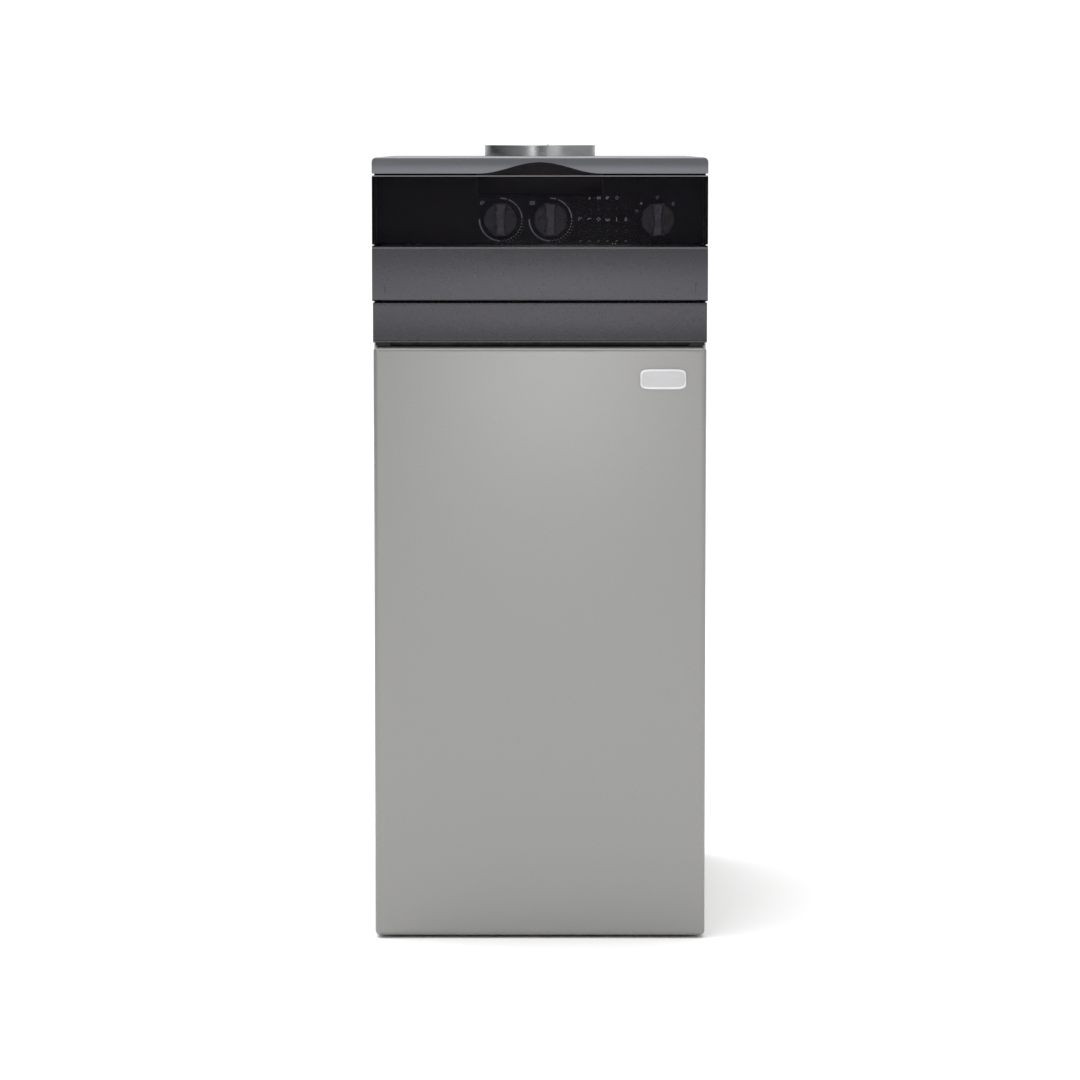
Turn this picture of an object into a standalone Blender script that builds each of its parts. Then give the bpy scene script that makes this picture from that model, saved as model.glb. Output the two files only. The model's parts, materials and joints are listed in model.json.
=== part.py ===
"""Slim floor-standing gas boiler with its atmospheric burner assembly.

Metres, +Z up, front towards -Y, X centred. Heights in this file start at a datum under
the casing; node() lowers every piece by FLOOR, so that the finished model stands on Z = 0.
"""
import math

import bmesh
import bpy
from mathutils import Matrix, Vector

# Overall envelope
FRONT_Y = -0.300
REAR_Y = 0.300
LID_HALF = 0.1755
CASE_HALF = 0.1745
SHEET = 0.0012
FIT = 0.0003

# Height levels of the front
LID_TOP = 0.8344
LID_BOTTOM = 0.8175
DOOR_TOP = 0.8156
WINDOW_BOTTOM = 0.7429
DOOR_BOTTOM = 0.6844
TRIM_TOP = 0.6828
TRIM_BOTTOM = 0.6413
PANEL_TOP = 0.6369
CASE_BOTTOM = 0.0125
FLOOR = 0.0095

# Depth levels
PANEL_Y = -0.297
PANEL_BACK_Y = -0.272
SIDE_FRONT_Y = -0.271
SIDE_REAR_Y = 0.269
FLANGE = 0.018
FASCIA_Y = -0.2785
FASCIA_WALL = 0.0025

# Control door hinge
DOOR_SKIN = 0.0018
DOOR_BACK_Y = -0.2792
DOOR_HEEL_Y = -0.285
HINGE_Y = -0.295
HINGE_Z = 0.6894
EDGE_RADIUS = 0.005
PIN_RADIUS = 0.0015
PIN_HOLE = 0.0018

# Controls
KNOB_RADIUS = 0.0178
KNOB_Z = 0.7693
KNOB_X = {"knob_dhw": -0.0411, "knob_heating": 0.0110, "knob_selector": 0.1230}
# Lamp rows as (left end, right end, height)
UPPER_LAMPS = (0.0493, 0.0832, 0.7807)
LOWER_LAMPS = (0.0397, 0.0925, 0.7580)
BOARD_Y = -0.2642

# Badge on the front panel
BADGE_X = 0.129
BADGE_Z = 0.6029
BADGE_FRONT_Y = -0.2996

# Flue
FLUE_Y = 0.140
FLUE_RADIUS = 0.063
FLUE_TOP = 0.8475
LID_HOLE = 0.067

# Cast-iron exchanger and burner
SECTION_PITCH = 0.058
SECTION_COUNT = 4
SECTION_Y = (-0.105, 0.205)
SECTION_Z = (0.2003, 0.5400)
JACKET_HALF = 0.129
JACKET_Y = (-0.119, 0.219)
TRAY_Z = (0.0403, 0.198)
BURNER_Z = 0.135
BURNER_HALF = 0.016
BURNER_TOP = 0.164
BURNER_BOTTOM = 0.115
BURNER_REAR_Y = 0.195
FLAME_SLOTS = 7
FLAME_SLOT_PITCH = 0.038
MANIFOLD_Y = -0.150
ELECTRODES = {"ignition_electrode": 0.029, "flame_sensor": 0.087}
ELECTRODE_Z = 0.1815

# Pipework: outer and bore radii, then (y, z) of the ports in the castings
PIPE = 0.011
PIPE_BORE = 0.009
GAS_PIPE = 0.009
GAS_BORE = 0.007
LOW_PIPE_Z = 0.063
SIDE_PIPE_X = 0.115
FLOW_PORT = (0.150, 0.500)
RETURN_PORT = (-0.070, 0.262)
PUMP = (0.115, -0.195, 0.150)
COCK = (-0.115, -0.160, 0.063)
GLAND = (-0.125, 0.760)
SAFETY_VALVE = (0.1438, 0.182)

# Levelling feet
FOOT_X = 0.140
FOOT_Y = 0.205

FINISHES = {
    "grey_paint": ((0.115, 0.115, 0.125), 0.42, 0.35),
    "lid_paint": ((0.130, 0.132, 0.140), 0.45, 0.30),
    "satin_panel": ((0.380, 0.370, 0.350), 0.40, 0.55),
    "side_paint": ((0.260, 0.255, 0.245), 0.45, 0.30),
    "smoked": ((0.012, 0.012, 0.014), 0.08, 0.0),
    "black_plastic": ((0.020, 0.020, 0.022), 0.45, 0.0),
    "knob_plastic": ((0.030, 0.030, 0.034), 0.40, 0.0),
    "zinc": ((0.520, 0.530, 0.510), 0.38, 0.9),
    "steel": ((0.450, 0.450, 0.460), 0.35, 0.95),
    "silver": ((0.720, 0.720, 0.740), 0.25, 0.9),
    "cast_iron": ((0.060, 0.058, 0.056), 0.75, 0.5),
    "stainless": ((0.550, 0.540, 0.520), 0.32, 1.0),
    "foil": ((0.650, 0.650, 0.640), 0.45, 0.7),
    "aluminised": ((0.480, 0.480, 0.470), 0.45, 0.8),
    "alloy": ((0.500, 0.500, 0.500), 0.45, 0.8),
    "copper": ((0.600, 0.280, 0.160), 0.35, 1.0),
    "brass": ((0.600, 0.430, 0.180), 0.35, 1.0),
    "ceramic": ((0.800, 0.780, 0.720), 0.30, 0.0),
    "board": ((0.030, 0.150, 0.060), 0.50, 0.0),
    "laminate": ((0.150, 0.120, 0.090), 0.60, 0.3),
    "grey_plastic": ((0.250, 0.250, 0.260), 0.50, 0.0),
    "green_paint": ((0.030, 0.120, 0.060), 0.45, 0.1),
    "yellow": ((0.750, 0.550, 0.040), 0.40, 0.0),
    "red": ((0.550, 0.030, 0.020), 0.40, 0.0),
    "lamp": ((0.350, 0.340, 0.380), 0.20, 0.0),
    "rubber": ((0.020, 0.020, 0.020), 0.80, 0.0),
}

for old in list(bpy.data.objects):
    bpy.data.objects.remove(old, do_unlink=True)


def solid(bm):
    """Turn a bmesh into a linked helper object with outward faces."""
    bmesh.ops.recalc_face_normals(bm, faces=bm.faces)
    mesh = bpy.data.meshes.new("solid")
    bm.to_mesh(mesh)
    bm.free()
    obj = bpy.data.objects.new("solid", mesh)
    bpy.context.scene.collection.objects.link(obj)
    return obj


def box(lo, hi, radius=0.0, segments=2, sharp=None):
    """Axis-aligned box; sharp=(axis, value) keeps the edges of that face square."""
    bm = bmesh.new()
    bmesh.ops.create_cube(bm, size=1.0)
    size = Vector(hi) - Vector(lo)
    centre = (Vector(hi) + Vector(lo)) / 2
    for vert in bm.verts:
        vert.co = Vector(vert.co[i] * size[i] + centre[i] for i in range(3))
    if radius > 0:
        edges = []
        for edge in bm.edges:
            on_face = sharp and all(abs(v.co[sharp[0]] - sharp[1]) < 1e-7 for v in edge.verts)
            if not on_face:
                edges.append(edge)
        bmesh.ops.bevel(
            bm, geom=edges, offset=radius, segments=segments, affect="EDGES", profile=0.5
        )
    return solid(bm)


def prism(axis, outline, start, end):
    """Extrude a closed outline along an axis; the outline uses the other two axes."""
    others = [i for i in range(3) if i != axis]
    bm = bmesh.new()
    rings = []
    for level in (start, end):
        ring = []
        for point in outline:
            co = [0.0, 0.0, 0.0]
            co[axis] = level
            co[others[0]] = point[0]
            co[others[1]] = point[1]
            ring.append(bm.verts.new(co))
        rings.append(ring)
    count = len(outline)
    bm.faces.new(rings[0])
    bm.faces.new(rings[1])
    for i in range(count):
        j = (i + 1) % count
        bm.faces.new((rings[0][i], rings[0][j], rings[1][j], rings[1][i]))
    return solid(bm)


def lathe(axis, centre, profile, sides=24, closed=False):
    """Revolve (radius, height) points round an axis through centre."""
    others = [i for i in range(3) if i != axis]
    bm = bmesh.new()
    rings = []
    for radius, height in profile:
        ring = []
        steps = sides if radius > 0 else 1
        for k in range(steps):
            turn = 2 * math.pi * (k + 0.5) / sides
            co = [0.0, 0.0, 0.0]
            co[axis] = height
            co[others[0]] = centre[0] + radius * math.cos(turn)
            co[others[1]] = centre[1] + radius * math.sin(turn)
            ring.append(bm.verts.new(co))
        rings.append(ring)
    pairs = list(zip(rings, rings[1:]))
    if closed:
        pairs.append((rings[-1], rings[0]))
    for one, two in pairs:
        for k in range(sides):
            j = (k + 1) % sides
            corners = [one[k % len(one)], one[j % len(one)], two[j % len(two)], two[k % len(two)]]
            bm.faces.new(list(dict.fromkeys(corners)))
    return solid(bm)


def rod(axis, centre, radius, start, end, sides=16):
    """Plain cylinder along an axis."""
    return lathe(axis, centre, [(0, start), (radius, start), (radius, end), (0, end)], sides)


def ring(axis, centre, outer, inner, start, end, sides=24):
    """Plain sleeve along an axis."""
    profile = [(outer, start), (outer, end), (inner, end), (inner, start)]
    return lathe(axis, centre, profile, sides, closed=True)


def bent_path(points, radius, steps=3):
    """Polyline with its corners rounded to the bend radius."""
    path = [Vector(points[0])]
    for before, corner, after in zip(points, points[1:], points[2:]):
        corner = Vector(corner)
        into = (corner - Vector(before)).normalized()
        away = (Vector(after) - corner).normalized()
        angle = into.angle(away)
        reach = radius * math.tan(angle / 2)
        start = corner - into * reach
        side = (away - into * into.dot(away)).normalized()
        centre = start + side * radius
        for k in range(steps + 1):
            turn = angle * k / steps
            path.append(centre - side * radius * math.cos(turn) + into * radius * math.sin(turn))
    path.append(Vector(points[-1]))
    return path


def tube(points, outer, inner, bend, sides=10):
    """Hollow pipe along a bent polyline, open at both ends."""
    path = bent_path(points, bend)
    bm = bmesh.new()
    forward = (path[1] - path[0]).normalized()
    side = forward.orthogonal().normalized()
    loops = []
    for i, point in enumerate(path):
        ahead = path[min(i + 1, len(path) - 1)] - point
        behind = point - path[max(i - 1, 0)]
        heading = (ahead.normalized() + behind.normalized()).normalized()
        turn = forward.rotation_difference(heading)
        side = (turn @ side).normalized()
        forward = heading
        up = forward.cross(side)
        # The mitre keeps the section round between two straight runs
        half = ahead.angle(behind) / 2 if ahead.length and behind.length else 0.0
        loop = []
        for radius in (outer, inner):
            for k in range(sides):
                angle = 2 * math.pi * (k + 0.5) / sides
                offset = side * math.cos(angle) + up * math.sin(angle)
                loop.append(bm.verts.new(point + offset * radius / math.cos(half)))
        loops.append(loop)
    for one, two in zip(loops, loops[1:]):
        for base in (0, sides):
            for k in range(sides):
                j = (k + 1) % sides
                bm.faces.new((one[base + k], one[base + j], two[base + j], two[base + k]))
    for loop in (loops[0], loops[-1]):
        for k in range(sides):
            j = (k + 1) % sides
            bm.faces.new((loop[k], loop[j], loop[sides + j], loop[sides + k]))
    return solid(bm)


def rounded(points, radii, steps=4):
    """Round the corners of a 2-D outline, one radius for each corner."""
    outline = []
    count = len(points)
    for i in range(count):
        corner = Vector(points[i])
        if radii[i] <= 0:
            outline.append(tuple(corner))
            continue
        into = (corner - Vector(points[i - 1])).normalized()
        away = (Vector(points[(i + 1) % count]) - corner).normalized()
        angle = into.angle(away)
        reach = radii[i] * math.tan(angle / 2)
        start = corner - into * reach
        side = (away - into * into.dot(away)).normalized()
        centre = start + side * radii[i]
        for k in range(steps + 1):
            turn = angle * k / steps
            point = centre - side * radii[i] * math.cos(turn) + into * radii[i] * math.sin(turn)
            outline.append(tuple(point))
    return outline


def combine(obj, tools, operation):
    """Apply one Boolean for each tool, then drop the tool."""
    for tool in tools:
        step = obj.modifiers.new("step", "BOOLEAN")
        step.operation = operation
        step.solver = "EXACT"
        step.object = tool
        graph = bpy.context.evaluated_depsgraph_get()
        mesh = bpy.data.meshes.new_from_object(obj.evaluated_get(graph))
        obj.modifiers.clear()
        obj.data = mesh
        bpy.data.objects.remove(tool, do_unlink=True)
    return obj


def cut(obj, *tools):
    return combine(obj, tools, "DIFFERENCE")


def join(obj, *tools):
    return combine(obj, tools, "UNION")


def node(name, obj, finish, origin=(0, 0, 0)):
    """Name the finished piece, give it its material and put its origin in place."""
    obj.name = name
    obj.data.name = name
    obj.data.transform(Matrix.Translation(-Vector(origin)))
    obj.location = Vector(origin) - Vector((0, 0, FLOOR))
    colour, roughness, metallic = FINISHES[finish]
    mat = bpy.data.materials.new(name + "_" + finish)
    mat.use_nodes = True
    shader = mat.node_tree.nodes["Principled BSDF"]
    shader.inputs["Base Color"].default_value = (*colour, 1.0)
    shader.inputs["Roughness"].default_value = roughness
    shader.inputs["Metallic"].default_value = metallic
    obj.data.materials.clear()
    obj.data.materials.append(mat)
    obj.data.shade_smooth()
    obj.data.set_sharp_from_angle(angle=math.radians(32))
    return obj


def pan(lo, hi, wall, open_axis, open_end, radius, segments=2):
    """Sheet tray: a rounded box hollowed from one open side."""
    lo = list(lo)
    hi = list(hi)
    face = lo[open_axis] if open_end < 0 else hi[open_axis]
    outer = box(lo, hi, radius, segments, (open_axis, face))
    inner_lo = [v + wall for v in lo]
    inner_hi = [v - wall for v in hi]
    if open_end < 0:
        inner_lo[open_axis] = lo[open_axis] - 0.01
        face = inner_lo[open_axis]
    else:
        inner_hi[open_axis] = hi[open_axis] + 0.01
        face = inner_hi[open_axis]
    inner_radius = max(radius - wall, 0.0)
    inner = box(inner_lo, inner_hi, inner_radius, segments, (open_axis, face))
    return cut(outer, inner)


def base_frame():
    half = CASE_HALF - FLANGE - FIT
    body = pan(
        (-half, SIDE_FRONT_Y + 0.0005, CASE_BOTTOM + FIT),
        (half, SIDE_REAR_Y - FIT, TRAY_Z[0] - FIT),
        SHEET, 2, -1, 0.0,
    )
    air = box((-0.100, -0.095, 0.030), (0.100, 0.195, 0.050))
    holes = [
        rod(2, (x, y), 0.0046, 0.030, 0.050, 12)
        for x in (-FOOT_X, FOOT_X)
        for y in (-FOOT_Y, FOOT_Y)
    ]
    node("base_frame", cut(body, air, *holes), "zinc")


def levelling_feet():
    pad = [
        (0, 0), (0.013, 0), (0.014, 0.0010), (0.014, 0.0042), (0.0065, 0.0062), (0.0065, 0.0106),
        (0.0040, 0.0106),
    ]
    stem = [(0.0040, 0.0708), (0.0028, 0.0720), (0, 0.0720)]
    profile = [(radius, FLOOR + height) for radius, height in pad] + stem
    for depth, y in (("front", -FOOT_Y), ("rear", FOOT_Y)):
        for side, x in (("left", -FOOT_X), ("right", FOOT_X)):
            foot = lathe(2, (x, y), profile, 14)
            node(f"foot_{depth}_{side}", foot, "rubber", (x, y, FLOOR))


def side_panels():
    inner = CASE_HALF - FLANGE
    for side, sign in (("left", -1), ("right", 1)):
        xs = sorted((sign * inner, sign * CASE_HALF))
        panel = pan(
            (xs[0], SIDE_FRONT_Y, CASE_BOTTOM), (xs[1], SIDE_REAR_Y, LID_BOTTOM - 0.0005),
            SHEET, 0, -sign, 0.0025,
        )
        node(f"side_panel_{side}", panel, "side_paint")


def back_panel():
    half = CASE_HALF - FLANGE - FIT
    body = pan(
        (-half, SIDE_REAR_Y - 0.014, TRAY_Z[0]), (half, SIDE_REAR_Y, LID_BOTTOM - 0.0005),
        SHEET, 1, -1, 0.0,
    )
    back = (SIDE_REAR_Y - 0.004, SIDE_REAR_Y + 0.004)
    relief = box((-0.095, back[0], 0.632), (0.095, back[1], 0.712))
    pipes = [
        rod(1, (SIDE_PIPE_X, FLOW_PORT[1]), 0.019, *back, 14),
        rod(1, (SIDE_PIPE_X, LOW_PIPE_Z), 0.019, *back, 14),
        rod(1, (-SIDE_PIPE_X, LOW_PIPE_Z), 0.0155, *back, 14),
        rod(1, GLAND, 0.0085, *back, 12),
    ]
    node("back_panel", cut(body, relief, *pipes), "zinc")


def front_panel():
    body = pan(
        (-CASE_HALF, PANEL_Y, CASE_BOTTOM), (CASE_HALF, PANEL_BACK_Y, PANEL_TOP),
        SHEET, 1, 1, 0.0040, 3,
    )
    node("front_panel", body, "satin_panel", (0, PANEL_Y, (CASE_BOTTOM + PANEL_TOP) / 2))


def badge_outline(half_w, half_h, bulge, steps=6):
    """Barrel shape: bowed ends, straight top and bottom."""
    outline = []
    for sign in (1, -1):
        for k in range(steps + 1):
            t = -1 + 2 * k / steps
            x = BADGE_X + sign * (half_w - bulge * t * t)
            outline.append((x, BADGE_Z + sign * half_h * t))
    return outline


def badge_plate():
    front = BADGE_FRONT_Y
    plate = prism(1, badge_outline(0.0240, 0.0105, 0.0025), front, PANEL_Y - FIT)
    face = prism(1, badge_outline(0.0222, 0.0088, 0.0023), front - 0.0014, front + 0.0008)
    node("badge_plate", cut(plate, face), "silver")


def front_crossbar():
    """Channel behind the joint between trim and front panel, with two locating tabs."""
    web = box((-0.1560, -0.2714, 0.600), (0.1560, -0.2702, 0.6408))
    shelf = box((-0.1729, -0.2790, 0.6376), (0.1729, -0.2713, 0.6408))
    tabs = [
        box((min(a, b), -0.2910, 0.6377), (max(a, b), -0.2780, 0.6407))
        for a, b in ((-0.1715, -0.1570), (0.1570, 0.1715))
    ]
    node("front_crossbar", join(web, shelf, *tabs), "zinc")


def top_cover():
    body = pan(
        (-LID_HALF, FRONT_Y, LID_BOTTOM), (LID_HALF, 0.272, LID_TOP), SHEET, 2, -1, 0.0045, 3
    )
    half = 0.0645
    arch = [(half, LID_BOTTOM - 0.006), (half, LID_BOTTOM)]
    for k in range(1, 16):
        x = half * (1 - k / 8)
        arch.append((x, LID_BOTTOM + 0.0118 * (0.5 + 0.5 * math.cos(math.pi * x / half))))
    arch += [(-half, LID_BOTTOM), (-half, LID_BOTTOM - 0.006)]
    notch = prism(1, arch, FRONT_Y - 0.01, FRONT_Y + 0.01)
    hole = rod(2, (0, FLUE_Y), LID_HOLE, LID_TOP - 0.01, LID_TOP + 0.01, 32)
    node("top_cover", cut(body, notch, hole), "lid_paint", (0, 0, LID_BOTTOM))


def control_box():
    half = CASE_HALF - FLANGE - FIT
    body = pan((-half, -0.2708, 0.650), (half, -0.150, 0.812), SHEET, 1, -1, 0.0)
    pocket_room = box((-0.069, -0.280, 0.790), (0.069, -0.246, 0.820))
    wiring = rod(1, (-0.120, 0.700), 0.009, -0.160, -0.140, 14)
    node("control_box", cut(body, pocket_room, wiring), "zinc")


def control_fascia():
    inner_y = FASCIA_Y + FASCIA_WALL
    body = pan(
        (-0.1738, FASCIA_Y, 0.6440), (0.1738, -0.2713, 0.8305), FASCIA_WALL, 1, 1, 0.0015, 1
    )
    pocket = box((-0.068, FASCIA_Y + 0.001, 0.7925), (0.068, -0.248, 0.8300))
    body = join(body, pocket)
    ears = []
    for x0, x1 in ((-0.1700, -0.1660), (0.1660, 0.1700)):
        radius = 0.0029
        outline = [(inner_y - 0.001, HINGE_Z + radius)]
        for k in range(9):
            turn = math.pi / 2 + math.pi * k / 8
            outline.append((HINGE_Y + radius * math.cos(turn), HINGE_Z + radius * math.sin(turn)))
        outline.append((inner_y - 0.001, HINGE_Z - radius))
        ears.append(prism(0, outline, x0, x1))
    body = join(body, *ears)
    # The pocket gives the fingers room behind the top edge of the door
    holes = [box((-0.066, -0.290, 0.7945), (0.066, -0.250, 0.8285))]
    for x in (-0.168, 0.168):
        holes.append(rod(0, (HINGE_Y, HINGE_Z), PIN_HOLE, x - 0.004, x + 0.004, 10))
    for x in KNOB_X.values():
        holes.append(rod(1, (x, KNOB_Z), 0.0045, FASCIA_Y - 0.005, inner_y + 0.003, 14))
    for x0, x1, z in (UPPER_LAMPS, LOWER_LAMPS):
        holes.append(
            box((x0 - FIT, FASCIA_Y - 0.005, z - 0.0016), (x1 + FIT, inner_y + 0.003, z + 0.0016))
        )
    node("control_fascia", cut(body, *holes), "black_plastic")


def lower_trim():
    body = pan(
        (-0.1747, -0.2990, TRIM_BOTTOM), (0.1747, FASCIA_Y - FIT, TRIM_TOP),
        0.0018, 1, 1, 0.0012, 2,
    )
    node("lower_trim", body, "grey_paint")


def hinge_pins():
    for side, sign in (("left", -1), ("right", 1)):
        ends = sorted((sign * 0.1640, sign * 0.1745))
        pin = rod(0, (HINGE_Y, HINGE_Z), PIN_RADIUS, *ends, 10)
        node(f"hinge_pin_{side}", pin, "steel")


def door_lower():
    """Painted lower part of the control door; its bottom edge rolls round the hinge axis."""
    top = WINDOW_BOTTOM - 0.0005
    outer = rounded(
        [
            (FRONT_Y, top), (FRONT_Y, DOOR_BOTTOM), (DOOR_HEEL_Y, DOOR_BOTTOM),
            (DOOR_BACK_Y, HINGE_Z + 0.005), (DOOR_BACK_Y, top),
        ],
        [0.0010, EDGE_RADIUS, 0, 0, 0],
    )
    skin = FRONT_Y + DOOR_SKIN
    floor = DOOR_BOTTOM + DOOR_SKIN
    inner = rounded(
        [(skin, top - DOOR_SKIN), (skin, floor), (-0.270, floor), (-0.270, top - DOOR_SKIN)],
        [0, EDGE_RADIUS - DOOR_SKIN, 0, 0],
    )
    wall = LID_HALF - DOOR_SKIN
    body = cut(prism(0, outer, -LID_HALF, LID_HALF), prism(0, inner, -wall, wall))
    # Slot along the top edge for the tongue of the window
    slot = box((-0.166, skin - 0.0001, top - 0.010), (0.166, skin + 0.0026, top + 0.005))
    bosses = []
    notches = []
    bores = []
    for sign in (-1, 1):
        ends = sorted((sign * 0.1706, sign * 0.1745))
        bosses.append(rod(0, (HINGE_Y, HINGE_Z), 0.0030, *ends, 12))
        ends = sorted((sign * 0.1655, sign * 0.1705))
        notches.append(box((ends[0], skin, 0.680), (ends[1], -0.270, 0.6925)))
        ends = sorted((sign * 0.1690, sign * 0.1748))
        bores.append(rod(0, (HINGE_Y, HINGE_Z), PIN_HOLE, *ends, 10))
    body = join(body, *bosses)
    body = cut(body, slot, *notches, *bores)
    node("door_lower", body, "grey_paint", (0, HINGE_Y, HINGE_Z))


def door_window():
    """Smoked upper part of the control door with a tongue behind the painted part."""
    body = pan(
        (-LID_HALF, FRONT_Y, WINDOW_BOTTOM), (LID_HALF, DOOR_BACK_Y, DOOR_TOP),
        0.0018, 1, 1, 0.0012, 2,
    )
    tongue = box((-0.165, -0.2979, 0.7345), (0.165, -0.2960, 0.7450))
    node("door_window", join(body, tongue), "smoked", (0, HINGE_Y, HINGE_Z))


def knob_grip_outline(x):
    """Hourglass bar seen from the front."""
    outline = []
    reach = KNOB_RADIUS * 0.96
    for sign in (1, -1):
        for k in range(5):
            t = 1 - k / 2
            half = 0.0042 + 0.0022 * t * t
            outline.append((x + sign * half, KNOB_Z + sign * t * reach))
    return outline


def knobs():
    for name, x in KNOB_X.items():
        face = FASCIA_Y - FIT
        profile = [
            (0, -0.2680), (0.0025, -0.2680), (0.0030, -0.2685), (0.0030, face),
            (KNOB_RADIUS, face), (KNOB_RADIUS, -0.2855), (KNOB_RADIUS - 0.001, -0.2868),
            (0, -0.2868),
        ]
        knob = lathe(1, (x, KNOB_Z), profile, 22)
        grip = prism(1, knob_grip_outline(x), -0.2865, -0.2935)
        node(name, join(knob, grip), "knob_plastic", (x, face, KNOB_Z))


def control_electronics():
    back = FASCIA_Y + FASCIA_WALL + FIT
    switches = (
        ("potentiometer_dhw", KNOB_X["knob_dhw"], 0.010),
        ("potentiometer_heating", KNOB_X["knob_heating"], 0.010),
        ("selector_switch", KNOB_X["knob_selector"], 0.014),
    )
    for name, x, half in switches:
        body = box((x - half, back, KNOB_Z - half), (x + half, BOARD_Y - FIT, KNOB_Z + half))
        shaft = rod(1, (x, KNOB_Z), 0.0034, back - 0.002, -0.2662, 14)
        node(name, cut(body, shaft), "grey_plastic")
    for name, (x0, x1, z) in (
        ("indicator_row_upper", UPPER_LAMPS), ("indicator_row_lower", LOWER_LAMPS),
    ):
        bar = box((x0, FASCIA_Y + 0.0001, z - 0.0013), (x1, BOARD_Y - FIT, z + 0.0013))
        rim = box((x0 - 0.001, back, z - 0.0030), (x1 + 0.001, -0.2720, z + 0.0030))
        node(name, join(bar, rim), "lamp")
    board = box((-0.075, BOARD_Y, 0.716), (0.148, BOARD_Y + 0.0016, 0.7895))
    relays = [
        box((x, BOARD_Y + 0.001, 0.722), (x + 0.020, BOARD_Y + 0.018, 0.737))
        for x in (-0.060, -0.032, -0.004)
    ]
    chip = box((0.060, BOARD_Y + 0.001, 0.740), (0.084, BOARD_Y + 0.005, 0.764))
    node("circuit_board", join(board, chip, *relays), "board")
    core = box((-0.150, -0.235, 0.6515), (-0.104, -0.195, 0.690))
    coil = box((-0.144, -0.243, 0.656), (-0.110, -0.187, 0.6855), 0.002, 1)
    node("transformer", join(core, coil), "laminate")


def cable_gland():
    outside = SIDE_REAR_Y + FIT
    inside = SIDE_REAR_Y - SHEET - FIT
    profile = [
        (0.0120, outside), (0.0120, outside + 0.005), (0.0095, outside + 0.006),
        (0.0085, outside + 0.016), (0.0045, outside + 0.016), (0.0045, inside - 0.010),
        (0.0115, inside - 0.010), (0.0115, inside), (0.0080, inside), (0.0080, outside),
    ]
    node("cable_gland", lathe(1, GLAND, profile, 12, closed=True), "black_plastic")


def section_outline(x, core, tip, teeth=5):
    """Plan view of one casting: sealing edges front and rear, upright fins between."""
    y0, y1 = SECTION_Y
    edge = 0.012
    step = (y1 - y0 - 2 * edge) / teeth
    right = [(x + tip, y0), (x + tip, y0 + edge), (x + core, y0 + edge)]
    for k in range(teeth):
        mid = y0 + edge + step * (k + 0.5)
        right += [
            (x + core, mid - 0.009), (x + tip - 0.001, mid - 0.006),
            (x + tip - 0.001, mid + 0.006), (x + core, mid + 0.009),
        ]
    right += [(x + core, y1 - edge), (x + tip, y1 - edge), (x + tip, y1)]
    left = [(2 * x - px, py) for px, py in reversed(right)]
    return right + left


def sections():
    z0, z1 = SECTION_Z
    tip = SECTION_PITCH / 2 - FIT
    for k in range(SECTION_COUNT):
        x = SECTION_PITCH * (k - (SECTION_COUNT - 1) / 2)
        casting = prism(2, section_outline(x, 0.018, tip), z0, z1)
        hubs = [
            box((x - tip + 0.0002, y - 0.017, z - 0.017), (x + tip - 0.0002, y + 0.017, z + 0.017))
            for y, z in (FLOW_PORT, RETURN_PORT)
        ]
        casting = join(casting, *hubs)
        water = box((x - 0.012, -0.094, z0 + 0.012), (x + 0.012, 0.194, z1 - 0.012))
        start = x - 0.040 if k > 0 else x - 0.005
        bores = [rod(0, port, 0.0115, start, x + 0.040, 10) for port in (FLOW_PORT, RETURN_PORT)]
        node(f"section_{k + 1}", cut(casting, water, *bores), "cast_iron")


def insulation_jacket():
    body = box((-JACKET_HALF, JACKET_Y[0], SECTION_Z[0]), (JACKET_HALF, JACKET_Y[1], SECTION_Z[1]))
    inner = box((-0.1165, -0.1060, 0.150), (0.1165, 0.2060, 0.600))
    ports = [rod(0, port, 0.0125, 0.110, 0.140, 16) for port in (FLOW_PORT, RETURN_PORT)]
    node("insulation_jacket", cut(body, inner, *ports), "foil")


def burner_positions():
    return [SECTION_PITCH * (k - (SECTION_COUNT - 1) / 2) for k in range(SECTION_COUNT)]


def burner_tray():
    z0, z1 = TRAY_Z
    y0, y1 = JACKET_Y
    wall = 0.0015
    body = box((-JACKET_HALF, y0, z0), (JACKET_HALF, y1, z1))
    room = box(
        (-JACKET_HALF + wall, y0 + wall, z0 - 0.01), (JACKET_HALF - wall, y1 - wall, z1 - wall)
    )
    mouth = box((-0.105, -0.095, 0.150), (0.105, BURNER_REAR_Y, 0.250))
    arch = box((-0.1265, y0 - 0.01, z0 - 0.01), (0.1265, y1 + 0.01, 0.088))
    body = cut(body, room, mouth, arch)
    rails = [
        box((-JACKET_HALF + 0.0005, y, 0.1075), (JACKET_HALF - 0.0005, y + 0.010, 0.1147))
        for y in (-0.090, 0.172)
    ]
    body = join(body, *rails)
    holes = [rod(1, (x, BURNER_Z), 0.013, y0 - 0.01, y0 + 0.01, 16) for x in burner_positions()]
    holes += [
        rod(1, (x, ELECTRODE_Z), 0.0040, y0 - 0.01, y0 + 0.01, 10) for x in ELECTRODES.values()
    ]
    node("burner_tray", cut(body, *holes), "aluminised")


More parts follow.
